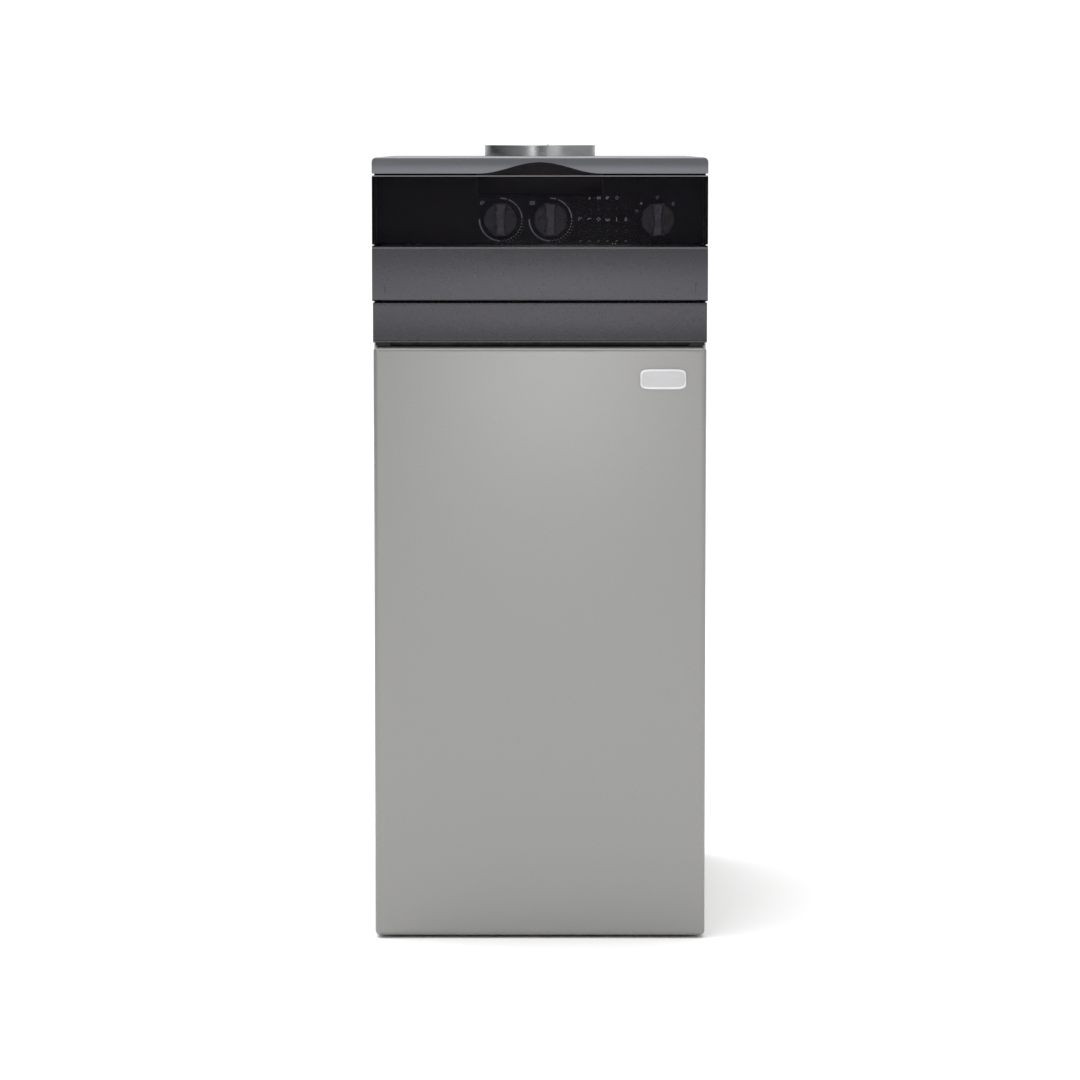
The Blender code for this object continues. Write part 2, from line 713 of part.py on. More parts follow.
def burner_bars():
    y0 = JACKET_Y[0] + 0.0018
    y1 = BURNER_REAR_Y
    z0 = BURNER_BOTTOM
    z1 = BURNER_TOP
    for k, x in enumerate(burner_positions()):
        x0 = x - BURNER_HALF
        x1 = x + BURNER_HALF
        outline = rounded(
            [(x0, z0), (x1, z0), (x1, z1), (x0, z1)], [0.004, 0.004, 0.007, 0.007], 2
        )
        bar = prism(1, outline, y0, y1)
        room = box(
            (x0 + SHEET, y0 + SHEET, z0 + SHEET), (x1 - SHEET, y1 - SHEET, z1 - 0.006)
        )
        inlet = rod(1, (x, BURNER_Z), 0.0115, y0 - 0.01, y0 + 0.010, 12)
        slots = []
        for i in range(FLAME_SLOTS):
            start = y0 + 0.030 + FLAME_SLOT_PITCH * i
            slots.append(
                box((x0 + 0.005, start, z1 - 0.010), (x1 - 0.005, start + 0.010, z1 + 0.010))
            )
        node(f"burner_bar_{k + 1}", cut(bar, room, inlet, *slots), "stainless")


def gas_manifold():
    z = BURNER_Z
    y = MANIFOLD_Y
    body = box((-0.104, y - 0.011, z - 0.011), (0.104, y + 0.011, z + 0.011), 0.0015, 1)
    lugs = [
        box((x - 0.008, y + 0.006, z - 0.004), (x + 0.008, JACKET_Y[0] - FIT, z + 0.004))
        for x in (-SECTION_PITCH, SECTION_PITCH)
    ]
    jets = []
    for x in burner_positions():
        profile = [
            (0, y + 0.005), (0.0065, y + 0.005), (0.0065, y + 0.018), (0.0040, y + 0.020),
            (0.0030, y + 0.027), (0, y + 0.027),
        ]
        jets.append(lathe(1, (x, z), profile, 10))
    inlet = rod(2, (-0.030, y), 0.010, z + 0.008, 0.1647, 14)
    body = join(body, inlet, *lugs, *jets)
    channel = box((-0.100, y - 0.007, z - 0.007), (0.100, y + 0.007, z + 0.007))
    supply = rod(2, (-0.030, y), 0.006, z, 0.170, 10)
    bores = [rod(1, (x, z), 0.0012, y, y + 0.030, 6) for x in burner_positions()]
    node("gas_manifold", cut(body, channel, supply, *bores), "steel")


def electrodes():
    for name, x in ELECTRODES.items():
        profile = [
            (0, -0.142), (0.0015, -0.142), (0.0015, -0.136), (0.0035, -0.135),
            (0.0035, -0.1255), (0.0060, -0.1245), (0.0060, -0.1195), (0.0036, -0.1195),
            (0.0036, -0.098), (0.0012, -0.096), (0.0012, -0.070), (0, -0.070),
        ]
        node(name, lathe(1, (x, ELECTRODE_Z), profile, 10), "ceramic")


def gas_valve():
    body = box((-0.070, -0.190, 0.180), (0.010, -0.130, 0.225), 0.002, 1)
    coil = box((-0.064, -0.184, 0.224), (-0.034, -0.138, 0.262), 0.003, 1)
    motor = rod(2, (-0.012, -0.160), 0.014, 0.224, 0.256, 18)
    cap = rod(1, (-0.020, 0.203), 0.009, -0.196, -0.189, 14)
    stub = rod(2, (-0.030, MANIFOLD_Y), 0.010, 0.165, 0.181, 14)
    body = join(body, coil, motor, cap, stub)
    bore = rod(2, (-0.030, MANIFOLD_Y), 0.006, 0.160, 0.195, 10)
    inlet = rod(0, (-0.160, 0.203), 0.007, -0.080, -0.045, 12)
    node("gas_valve", cut(body, bore, inlet), "alloy")


def threaded_end(centre, outer, inner):
    """Male pipe fitting at the rear of the case."""
    return ring(1, centre, outer, inner, REAR_Y - 0.018, REAR_Y, 16)


def pipes():
    gas = tube(
        [(COCK[0], REAR_Y - 0.004, COCK[2]), (COCK[0], COCK[1] + 0.0183, COCK[2])],
        GAS_PIPE, GAS_BORE, 0.02,
    )
    gas = join(gas, threaded_end((COCK[0], COCK[2]), 0.0132, 0.0080))
    node("gas_pipe", gas, "steel")
    riser = tube(
        [(COCK[0], COCK[1], COCK[2] + 0.0203), (COCK[0], COCK[1], 0.203), (-0.0703, -0.160, 0.203)],
        GAS_PIPE, GAS_BORE, 0.022,
    )
    node("gas_riser", riser, "copper")
    flow = tube(
        [
            (0.1163, *FLOW_PORT), (SAFETY_VALVE[0], *FLOW_PORT),
            (SAFETY_VALVE[0], 0.2370, FLOW_PORT[1]),
            (SIDE_PIPE_X, 0.2370, FLOW_PORT[1]), (SIDE_PIPE_X, REAR_Y - 0.004, FLOW_PORT[1]),
        ],
        PIPE, PIPE_BORE, 0.0120,
    )
    flow = join(flow, threaded_end((SIDE_PIPE_X, FLOW_PORT[1]), 0.0166, 0.0100))
    node("flow_pipe", flow, "copper")
    back = tube(
        [
            (SIDE_PIPE_X, REAR_Y - 0.004, LOW_PIPE_Z), (SIDE_PIPE_X, PUMP[1], LOW_PIPE_Z),
            (SIDE_PIPE_X, PUMP[1], PUMP[2] - 0.0553),
        ],
        PIPE, PIPE_BORE, 0.025,
    )
    back = join(back, threaded_end((SIDE_PIPE_X, LOW_PIPE_Z), 0.0166, 0.0100))
    node("return_pipe", back, "copper")
    riser = tube(
        [
            (PUMP[0], PUMP[1], PUMP[2] + 0.0553), (PUMP[0], PUMP[1], RETURN_PORT[1]),
            (0.1500, PUMP[1], RETURN_PORT[1]), (0.1500, *RETURN_PORT), (0.1163, *RETURN_PORT),
        ],
        PIPE, PIPE_BORE, 0.0165,
    )
    node("return_riser", riser, "copper")


def gas_cock():
    x, y, z = COCK
    body = box((x - 0.015, y - 0.018, z - 0.015), (x + 0.015, y + 0.018, z + 0.015), 0.003, 1)
    outlet = rod(2, (x, y), 0.012, z + 0.010, z + 0.020, 14)
    stem = rod(1, (x, z), 0.0040, y - 0.0240, y - 0.0170, 12)
    body = join(body, outlet, stem)
    inlet = rod(1, (x, z), 0.007, y, y + 0.030, 12)
    riser = rod(2, (x, y), 0.007, z, z + 0.030, 12)
    node("gas_cock", cut(body, inlet, riser), "brass")
    hub = y - 0.0184
    lever = rod(1, (x, z), 0.0085, hub - 0.0075, hub - 0.0002, 16)
    arm = box((x - 0.0055, hub - 0.0070, z), (x + 0.0055, hub - 0.0035, z + 0.048), 0.001, 1)
    bore = rod(1, (x, z), 0.0044, hub - 0.0062, hub + 0.005, 12)
    node("gas_cock_lever", cut(join(lever, arm), bore), "yellow", (x, hub, z))


def pump():
    x, y, z = PUMP
    split = y - 0.0200
    profile = [(0, y + 0.022), (0.030, y + 0.022), (0.045, y + 0.012), (0.045, split), (0, split)]
    housing = lathe(1, (x, z), profile, 20)
    ports = rod(2, (x, y), 0.016, z - 0.055, z + 0.055, 12)
    housing = join(housing, ports)
    cavity = rod(1, (x, z), 0.036, split - 0.01, y + 0.012, 18)
    bore = rod(2, (x, y), 0.009, z - 0.060, z + 0.060, 10)
    node("pump_housing", cut(housing, cavity, bore), "green_paint")

    profile = [
        (0, y + 0.009), (0.032, y + 0.009), (0.032, y + 0.005), (0.009, y + 0.005),
        (0.009, y - 0.010), (0.004, y - 0.010), (0.004, y - 0.036), (0, y - 0.036),
    ]
    impeller = lathe(1, (x, z), profile, 18)
    for k in range(6):
        blade = box((0.007, y - 0.008, -0.0015), (0.0305, y + 0.006, 0.0015))
        turn = Matrix.Rotation(2 * math.pi * (k + 0.25) / 6, 4, "Y")
        blade.data.transform(Matrix.Translation((x, 0, z)) @ turn)
        impeller = join(impeller, blade)
    node("pump_impeller", impeller, "grey_plastic", (x, y, z))

    face = split - FIT
    profile = [
        (0, face - 0.020), (0.0046, face - 0.020), (0.0046, face), (0.045, face),
        (0.045, face - 0.008), (0.038, face - 0.010), (0.038, face - 0.054),
        (0.034, face - 0.058), (0.012, face - 0.058), (0.012, face - 0.062), (0, face - 0.062),
    ]
    motor = lathe(1, (x, z), profile, 20)
    terminals = box(
        (x - 0.020, face - 0.050, z + 0.030), (x + 0.020, face - 0.014, z + 0.050), 0.002, 1
    )
    node("pump_motor", join(motor, terminals), "green_paint")


def safety_valve():
    x, y = SAFETY_VALVE
    z = FLOW_PORT[1] + PIPE + FIT
    profile = [
        (0, z), (0.009, z), (0.009, z + 0.010), (0.0140, z + 0.012), (0.0140, z + 0.028),
        (0.0095, z + 0.034), (0.0095, z + 0.044), (0.0030, z + 0.044), (0.0030, z + 0.054),
        (0, z + 0.054),
    ]
    body = lathe(2, (x, y), profile, 14)
    outlet = rod(1, (x, z + 0.020), 0.008, y - 0.022, y, 14)
    drain = rod(1, (x, z + 0.020), 0.006, y - 0.030, y - 0.008, 10)
    node("safety_valve", cut(join(body, outlet), drain), "brass")
    z += 0.0443
    profile = [
        (0, z + 0.012), (0.0034, z + 0.012), (0.0034, z), (0.0120, z), (0.0135, z + 0.003),
        (0.0135, z + 0.014), (0.0110, z + 0.017), (0, z + 0.017),
    ]
    node("safety_valve_knob", lathe(2, (x, y), profile, 16), "red", (x, y, z))


def smoke_hood():
    z0 = SECTION_Z[1] + FIT
    z1 = 0.6248
    y0 = -0.114
    y1 = 0.214
    wall = 0.0015
    outer = [(y0, z0), (y1, z0), (y1, z1), (0.020, z1), (y0, 0.575)]
    inner = [
        (y0 + wall, z0 - 0.01), (y1 - wall, z0 - 0.01), (y1 - wall, z1 - wall),
        (0.020 + 0.0003, z1 - wall), (y0 + wall, 0.575 - 0.0011),
    ]
    body = cut(prism(0, outer, -0.1245, 0.1245), prism(0, inner, -0.1230, 0.1230))
    outlet = box((-0.090, 0.065, z1 - 0.01), (0.090, 0.200, z1 + 0.01))
    node("smoke_hood", cut(body, outlet), "aluminised")


def draught_diverter():
    lo = Vector((-0.110, 0.030, 0.6251))
    hi = Vector((0.110, 0.250, 0.7897))
    wall = Vector((0.0015, 0.0015, 0.0015))
    body = cut(box(lo, hi), box(lo + wall, hi - wall))
    inlet = box((-0.088, 0.067, 0.620), (0.088, 0.198, 0.630))
    relief = box((-0.092, 0.240, 0.635), (0.092, 0.260, 0.705))
    outlet = rod(2, (0, FLUE_Y), FLUE_RADIUS - 0.002, 0.780, 0.800, 32)
    body = cut(body, inlet, relief, outlet)
    baffle = box((lo[0] + 0.0005, 0.075, 0.720), (hi[0] - 0.0005, 0.200, 0.7215))
    node("draught_diverter", join(body, baffle), "aluminised")


def flue_collar():
    z = 0.7900
    inner = FLUE_RADIUS - SHEET
    profile = [
        (0.078, z), (0.078, z + 0.0015), (FLUE_RADIUS, z + 0.0015), (FLUE_RADIUS, FLUE_TOP),
        (inner, FLUE_TOP), (inner, z),
    ]
    node("flue_collar", lathe(2, (0, FLUE_Y), profile, 36, closed=True), "zinc")


base_frame()
levelling_feet()
side_panels()
back_panel()
front_panel()
badge_plate()
front_crossbar()
top_cover()
control_box()
control_fascia()
lower_trim()
hinge_pins()
door_lower()
door_window()
knobs()
control_electronics()
cable_gland()
sections()
insulation_jacket()
burner_tray()
burner_bars()
gas_manifold()
electrodes()
gas_valve()
pipes()
gas_cock()
pump()
safety_valve()
smoke_hood()
draught_diverter()
flue_collar()
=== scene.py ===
"""Looks of a slim floor-standing gas boiler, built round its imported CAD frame.

Metres, +Z up, front towards -Y, floor at Z = 0.
"""
import json
import math

import bmesh
import bpy
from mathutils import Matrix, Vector

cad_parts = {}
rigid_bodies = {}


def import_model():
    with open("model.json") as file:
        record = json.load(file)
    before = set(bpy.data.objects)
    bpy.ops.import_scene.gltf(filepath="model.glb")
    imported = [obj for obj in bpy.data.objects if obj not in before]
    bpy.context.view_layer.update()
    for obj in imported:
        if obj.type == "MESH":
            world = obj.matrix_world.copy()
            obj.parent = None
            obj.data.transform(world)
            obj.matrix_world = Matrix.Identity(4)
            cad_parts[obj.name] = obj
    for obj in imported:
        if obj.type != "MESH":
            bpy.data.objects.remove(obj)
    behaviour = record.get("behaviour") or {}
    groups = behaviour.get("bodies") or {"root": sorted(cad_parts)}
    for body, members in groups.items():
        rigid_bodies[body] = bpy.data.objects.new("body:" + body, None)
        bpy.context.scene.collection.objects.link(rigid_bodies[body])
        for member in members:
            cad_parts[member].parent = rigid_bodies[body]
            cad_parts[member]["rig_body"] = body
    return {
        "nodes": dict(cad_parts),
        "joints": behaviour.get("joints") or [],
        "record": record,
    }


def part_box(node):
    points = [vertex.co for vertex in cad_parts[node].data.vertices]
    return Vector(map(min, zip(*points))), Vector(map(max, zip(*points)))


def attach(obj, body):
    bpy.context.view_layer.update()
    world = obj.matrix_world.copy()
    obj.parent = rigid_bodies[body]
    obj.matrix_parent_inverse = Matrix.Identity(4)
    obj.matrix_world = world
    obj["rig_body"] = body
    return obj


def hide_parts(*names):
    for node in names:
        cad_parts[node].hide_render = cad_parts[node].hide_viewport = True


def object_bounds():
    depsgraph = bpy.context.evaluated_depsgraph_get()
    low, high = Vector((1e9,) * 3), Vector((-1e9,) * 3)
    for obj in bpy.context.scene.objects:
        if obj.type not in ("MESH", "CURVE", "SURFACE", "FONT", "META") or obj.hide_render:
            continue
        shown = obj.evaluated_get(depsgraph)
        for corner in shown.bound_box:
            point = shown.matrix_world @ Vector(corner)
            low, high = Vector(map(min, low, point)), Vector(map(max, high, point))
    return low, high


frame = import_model()
cad_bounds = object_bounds()

MM = 0.001
SHEET = 1.2 * MM  # steel sheet of the casing
SKIN = 1.8 * MM  # wall of the plastic mouldings


# --- Camera -----------------------------------------------------------------------------

def make_camera():
    """Long lens straight in front of the case, a little above it."""
    data = bpy.data.cameras.new("camera")
    data.sensor_width = 36.0
    data.lens = 143.4155
    data.clip_end = 100.0
    camera = bpy.data.objects.new("camera", data)
    camera.location = (0.0, -4.8, 0.8399)
    camera.rotation_euler = (math.radians(90 - 5.274), 0.0, 0.0)
    bpy.context.scene.collection.objects.link(camera)
    bpy.context.scene.camera = camera


make_camera()


# --- Materials --------------------------------------------------------------------------

class Surface:
    """Principled material whose textures sit in the object's own space, in metres."""

    def __init__(self, name, colour, roughness, metallic=0.0, **sockets):
        self.mat = bpy.data.materials.new(name)
        self.mat.use_nodes = True
        self.tree = self.mat.node_tree
        self.shader = self.tree.nodes["Principled BSDF"]
        self.colour = colour
        self.roughness = roughness
        self.shader.inputs["Base Color"].default_value = (*colour, 1.0)
        self.shader.inputs["Roughness"].default_value = roughness
        self.shader.inputs["Metallic"].default_value = metallic
        for socket, value in sockets.items():
            self.shader.inputs[socket.replace("_", " ")].default_value = value
        self.place = self.tree.nodes.new("ShaderNodeTexCoord").outputs["Object"]
        self.heights = []

    def node(self, kind, **inputs):
        made = self.tree.nodes.new(kind)
        for name, value in inputs.items():
            socket = made.inputs[name.replace("_", " ")]
            if isinstance(value, bpy.types.NodeSocket):
                self.tree.links.new(value, socket)
            else:
                socket.default_value = value
        return made

    def stretched(self, stretch):
        if stretch == (1, 1, 1):
            return self.place
        return self.node("ShaderNodeMapping", Vector=self.place, Scale=stretch).outputs[0]

    def noise(self, scale, detail=3.0, stretch=(1, 1, 1), rough=0.55):
        made = self.node(
            "ShaderNodeTexNoise", Vector=self.stretched(stretch), Scale=scale, Detail=detail,
            Roughness=rough,
        )
        return made.outputs["Fac"]

    def cells(self, scale, stretch=(1, 1, 1), feature="F1", output="Color"):
        made = self.node("ShaderNodeTexVoronoi", Vector=self.stretched(stretch), Scale=scale)
        made.feature = feature
        return made.outputs[output]

    def spread(self, value, low, high, start=0.2, end=0.8):
        """Map the texture's usual range, start to end, smoothly onto low to high."""
        made = self.node(
            "ShaderNodeMapRange", Value=value, From_Min=start, From_Max=end, To_Min=low, To_Max=high
        )
        made.interpolation_type = "SMOOTHSTEP"
        return made.outputs[0]

    def tint(self, factor, other, amount=1.0):
        """Mix the present colour with another one by a texture."""
        mix = self.tree.nodes.new("ShaderNodeMix")
        mix.data_type = "RGBA"
        self.tree.links.new(self.spread(factor, 0.0, amount), mix.inputs[0])
        base = self.shader.inputs["Base Color"]
        if base.links:
            self.tree.links.new(base.links[0].from_socket, mix.inputs[6])
        else:
            mix.inputs[6].default_value = (*self.colour, 1.0)
        mix.inputs[7].default_value = (*other, 1.0)
        self.tree.links.new(mix.outputs[2], base)
        return self

    def gloss(self, factor, low, high):
        self.tree.links.new(self.spread(factor, low, high), self.shader.inputs["Roughness"])
        return self

    def relief(self, factor, height):
        """Bump with a real height in metres; several reliefs stack."""
        bump = self.node("ShaderNodeBump", Height=factor, Distance=height, Strength=1.0)
        if self.heights:
            self.tree.links.new(self.heights[-1], bump.inputs["Normal"])
        self.heights.append(bump.outputs[0])
        self.tree.links.new(bump.outputs[0], self.shader.inputs["Normal"])
        return self


def shade(colour, factor):
    return tuple(min(1.0, c * factor) for c in colour)


def paint(name, colour, roughness, metallic=0.0, **sockets):
    """Stoved paint: fine flakes, a trace of orange peel and a faint cloudiness."""
    made = Surface(name, colour, roughness, metallic, **sockets)
    made.tint(made.noise(4.0, 0.0), shade(colour, 1.04), 0.6)
    made.tint(made.noise(650.0, 1.0), shade(colour, 0.93), 1.0)
    made.gloss(made.noise(200.0, 1.0), roughness - 0.006, roughness + 0.006)
    made.relief(made.noise(320.0, 1.0), 0.5e-6)
    return made.mat


def moulded(name, colour, roughness, grain=1800.0, height=1.5e-6, **sockets):
    """Moulded plastic or rubber with a fine spark-eroded grain."""
    made = Surface(name, colour, roughness, 0.0, **sockets)
    made.tint(made.noise(40.0, 4.0), shade(colour, 1.22), 0.5)
    made.gloss(made.noise(90.0, 3.0), roughness - 0.06, roughness + 0.06)
    made.relief(made.noise(grain, 3.0), height)
    return made.mat


def metal(name, colour, roughness, stretch=(1, 1, 1), tone=0.82, height=4e-6, grain=420.0):
    """Drawn, brushed or machined metal; stretch sets the way the marks run."""
    made = Surface(name, colour, roughness, 1.0)
    made.tint(made.noise(9.0, 5.0), shade(colour, tone), 0.8)
    made.tint(made.noise(grain, 3.0, stretch), shade(colour, 1.12), 0.5)
    made.gloss(made.noise(grain / 2, 4.0, stretch), roughness - 0.07, roughness + 0.09)
    made.relief(made.noise(grain * 2, 3.0, stretch), height)
    return made.mat


def galvanised(name, colour, roughness, stretch=(1, 1, 1)):
    """Zinc-coated sheet: soft spangle with rolling marks."""
    made = Surface(name, colour, roughness, 1.0)
    spangle = made.cells(110.0)
    made.tint(spangle, shade(colour, 0.80), 0.55)
    made.tint(made.noise(260.0, 4.0, stretch), shade(colour, 1.18), 0.55)
    made.gloss(made.noise(80.0, 4.0, stretch), roughness - 0.08, roughness + 0.10)
    made.relief(made.noise(700.0, 3.0, stretch), 5e-6)
    return made.mat


def cast(name, colour, roughness, metallic=0.3, height=2.5e-4, scale=260.0):
    """Sand casting: coarse pitted skin, darker in the hollows."""
    made = Surface(name, colour, roughness, metallic)
    grit = made.noise(scale, 6.0)
    made.tint(grit, shade(colour, 0.55), 0.7)
    made.tint(made.noise(12.0, 4.0), shade(colour, 1.35), 0.5)
    made.gloss(grit, roughness - 0.10, roughness + 0.12)
    made.relief(made.noise(scale / 3, 4.0), height).relief(grit, height / 4)
    return made.mat


def crinkled_foil(name, colour):
    """Aluminium foil over mineral wool: soft dents and sharp little creases."""
    made = Surface(name, colour, 0.32, 1.0)
    made.tint(made.noise(25.0, 4.0), shade(colour, 0.82), 0.7)
    made.gloss(made.noise(70.0, 4.0), 0.26, 0.42)
    made.relief(made.noise(28.0, 3.0), 1.0e-3).relief(made.noise(170.0, 5.0, rough=0.7), 1.6e-4)
    return made.mat


def smoked_acrylic(name, opacity, specular):
    """Clear dark sheet; each face stops the given share of the light."""
    made = Surface(
        name, (0.0060, 0.0058, 0.0070), 0.06, 0.0, Alpha=opacity, IOR=1.49,
        Specular_IOR_Level=specular,
    )
    made.tint(made.noise(900.0, 1.0), (0.0066, 0.0064, 0.0077), 1.0)
    made.gloss(made.noise(60.0, 1.0), 0.055, 0.065)
    return made.mat


def circuit_resin(name):
    """Green solder mask with copper tracks just showing under it."""
    made = Surface(name, (0.012, 0.085, 0.035), 0.35, 0.0, Coat_Weight=0.3)
    tracks = made.cells(420.0, (1, 1, 1), "DISTANCE_TO_EDGE", "Distance")
    made.tint(made.spread(tracks, 1.0, 0.0, 0.0, 0.2), (0.05, 0.20, 0.07), 0.6)
    made.gloss(made.noise(200.0), 0.28, 0.42)
    made.relief(tracks, 4e-5)
    return made.mat


def lens(name, colour):
    """Diffusing lens of an indicator lamp that isn't lit."""
    made = Surface(name, colour, 0.22, 0.0, Coat_Weight=0.4)
    made.tint(made.noise(500.0, 3.0), shade(colour, 1.3), 0.6)
    made.gloss(made.noise(900.0), 0.15, 0.3)
    made.relief(made.cells(2200.0, output="Distance"), 3e-5)
    return made.mat


MATERIALS = {
    "lid_paint": paint("lid_paint", (0.130, 0.137, 0.148), 0.30, 0.70),
    "door_paint": paint("door_paint", (0.067, 0.065, 0.072), 0.27, 0.70),
    # The door paint made darker for the lower trim: painted shade on the same paint
    "trim_painted_shade": paint("trim_painted_shade", (0.059, 0.057, 0.063), 0.27, 0.70),
    "satin_panel": paint("satin_panel", (0.250, 0.248, 0.240), 0.23, 0.50),
    "side_paint": paint("side_paint", (0.290, 0.287, 0.277), 0.42, 0.30),
    "smoked": smoked_acrylic("smoked", 0.34, 0.18),
    "smoked_edge": smoked_acrylic("smoked_edge", 1.0, 0.40),
    # Lighter grey for the smoked window's top edge: a painted highlight
    "painted_highlight_edge": moulded("painted_highlight_edge", (0.115, 0.113, 0.116), 0.20, 900.0, 1e-6),
    "black_plastic": moulded("black_plastic", (0.010, 0.010, 0.011), 0.42),
    "fascia_plastic": moulded(
        "fascia_plastic", (0.018, 0.015, 0.018), 0.50, Specular_IOR_Level=0.02
    ),
    # Lighter copy of the fascia plastic: painted light that lifts the shade inside the finger pocket
    "pocket_painted_light": moulded(
        "pocket_painted_light", (0.062, 0.053, 0.060), 0.50, Specular_IOR_Level=0.02
    ),
    "knob_plastic": moulded("knob_plastic", (0.038, 0.033, 0.043), 0.30),
    # Lighter copy of the knob plastic: a painted highlight on the grips, which catch the light
    "knob_grip_painted_highlight": moulded("knob_grip_painted_highlight", (0.085, 0.074, 0.098), 0.28),
    "ink": moulded("ink", (0.38, 0.35, 0.47), 0.55, 900.0, 3e-6),
    # Near-black zinc: painted shade for the crossbar in the gap above the front panel
    "painted_shade_zinc": galvanised("painted_shade_zinc", (0.030, 0.030, 0.032), 0.40),
    "zinc": galvanised("zinc", (0.47, 0.48, 0.475), 0.36),
    "flue_zinc": metal("flue_zinc", (0.49, 0.51, 0.505), 0.29, (0.4, 0.4, 1), 0.86, 2e-6, 160.0),
    "steel": metal("steel", (0.52, 0.52, 0.53), 0.32),
    "silver_field": metal("silver_field", (0.50, 0.50, 0.51), 0.45, (0.2, 1, 1), 0.94, 5e-7, 300.0),
    "silver": metal("silver", (0.66, 0.66, 0.67), 0.38, (0.2, 1, 1), 0.94, 5e-7, 300.0),
    "stainless": metal("stainless", (0.58, 0.57, 0.55), 0.28, (1, 0.1, 1)),
    "aluminised": galvanised("aluminised", (0.55, 0.55, 0.54), 0.40),
    "copper": metal("copper", (0.72, 0.36, 0.22), 0.26, (1, 0.2, 1), 0.70),
    "brass": metal("brass", (0.70, 0.52, 0.26), 0.30, (1, 1, 0.3), 0.75),
    "alloy": cast("alloy", (0.50, 0.50, 0.50), 0.40, 0.9, 6e-5, 700.0),
    "cast_iron": cast("cast_iron", (0.055, 0.052, 0.050), 0.70),
    "green_paint": cast("green_paint", (0.025, 0.110, 0.060), 0.42, 0.1, 1.2e-4, 320.0),
    "foil": crinkled_foil("foil", (0.72, 0.72, 0.72)),
    "ceramic": moulded("ceramic", (0.78, 0.75, 0.68), 0.25, 700.0, 5e-6, Coat_Weight=0.5),
    "board": circuit_resin("board"),
    "laminate": metal("laminate", (0.20, 0.17, 0.14), 0.50, (1, 1, 6.0), 0.7, 3e-5, 700.0),
    "grey_plastic": moulded("grey_plastic", (0.20, 0.20, 0.21), 0.45),
    "yellow": moulded("yellow", (0.72, 0.50, 0.03), 0.38),
    "red": moulded("red", (0.50, 0.025, 0.018), 0.36),
    "lamp": lens("lamp", (0.060, 0.052, 0.060)),
    "rubber": moulded("rubber", (0.016, 0.016, 0.017), 0.70, 700.0, 3e-5),
}


# --- Mesh tools -------------------------------------------------------------------------

def linked(bm, name):
    mesh = bpy.data.meshes.new(name)
    bm.to_mesh(mesh)
    bm.free()
    obj = bpy.data.objects.new(name, mesh)
    bpy.context.scene.collection.objects.link(obj)
    return obj


def solid(bm):
    """Turn a bmesh into a linked object with outward faces."""
    bmesh.ops.recalc_face_normals(bm, faces=bm.faces)
    return linked(bm, "solid")


def block(lo, hi, radius=0.0, segments=3, sharp=None):
    """Box with rounded edges; sharp=(axis, value) keeps the edges of that face square."""
    bm = bmesh.new()
    bmesh.ops.create_cube(bm, size=1.0)
    size = Vector(hi) - Vector(lo)
    centre = (Vector(hi) + Vector(lo)) / 2
    for vert in bm.verts:
        vert.co = Vector(vert.co[i] * size[i] + centre[i] for i in range(3))
    edges = [
        edge for edge in bm.edges
        if not (sharp and all(abs(v.co[sharp[0]] - sharp[1]) < 1e-6 for v in edge.verts))
    ]
    if radius > 0:
        bmesh.ops.bevel(
            bm, geom=edges, offset=radius, segments=segments, affect="EDGES", profile=0.5
        )
    return solid(bm)


def prism(axis, outline, start, end):
    """Extrude a closed outline along an axis; the outline uses the other two axes."""
    others = [i for i in range(3) if i != axis]
    bm = bmesh.new()
    rings = []
    for level in (start, end):
        loop = []
        for point in outline:
            co = [0.0, 0.0, 0.0]
            co[axis] = level
            co[others[0]] = point[0]
            co[others[1]] = point[1]
            loop.append(bm.verts.new(co))
        rings.append(loop)
    bm.faces.new(rings[0])
    bm.faces.new(rings[1])
    count = len(outline)
    for i in range(count):
        j = (i + 1) % count
        bm.faces.new((rings[0][i], rings[0][j], rings[1][j], rings[1][i]))
    return solid(bm)


def lathe(axis, centre, profile, sides=48, closed=False, wobble=None):
    """Revolve (radius, height) points round an axis; wobble(angle, radius) shapes the section."""
    others = [i for i in range(3) if i != axis]
    bm = bmesh.new()
    rings = []
    for radius, height in profile:
        loop = []
        for k in range(sides if radius > 0 else 1):
            turn = 2 * math.pi * (k + 0.5) / sides
            reach = wobble(turn, radius) if wobble else radius
            co = [0.0, 0.0, 0.0]
            co[axis] = height
            co[others[0]] = centre[0] + reach * math.cos(turn)
            co[others[1]] = centre[1] + reach * math.sin(turn)
            loop.append(bm.verts.new(co))
        rings.append(loop)
    pairs = list(zip(rings, rings[1:]))
    if closed:
        pairs.append((rings[-1], rings[0]))
    for one, two in pairs:
        for k in range(sides):
            j = (k + 1) % sides
            corners = [one[k % len(one)], one[j % len(one)], two[j % len(two)], two[k % len(two)]]
            bm.faces.new(list(dict.fromkeys(corners)))
    return solid(bm)


def rod(axis, centre, radius, start, end, sides=32):
    return lathe(axis, centre, [(0, start), (radius, start), (radius, end), (0, end)], sides)


def rounded(points, radii, steps=6):
    """Round the corners of a 2-D outline, one radius for each corner."""
    outline = []
    count = len(points)
    for i in range(count):
        corner = Vector(points[i])
        if radii[i] <= 0:
            outline.append(tuple(corner))
            continue
        into = (corner - Vector(points[i - 1])).normalized()
        away = (Vector(points[(i + 1) % count]) - corner).normalized()
        angle = into.angle(away)
        start = corner - into * radii[i] * math.tan(angle / 2)
        side = (away - into * into.dot(away)).normalized()
        centre = start + side * radii[i]
        for k in range(steps + 1):
            turn = angle * k / steps
            point = centre - side * radii[i] * math.cos(turn) + into * radii[i] * math.sin(turn)
            outline.append(tuple(point))
    return outline


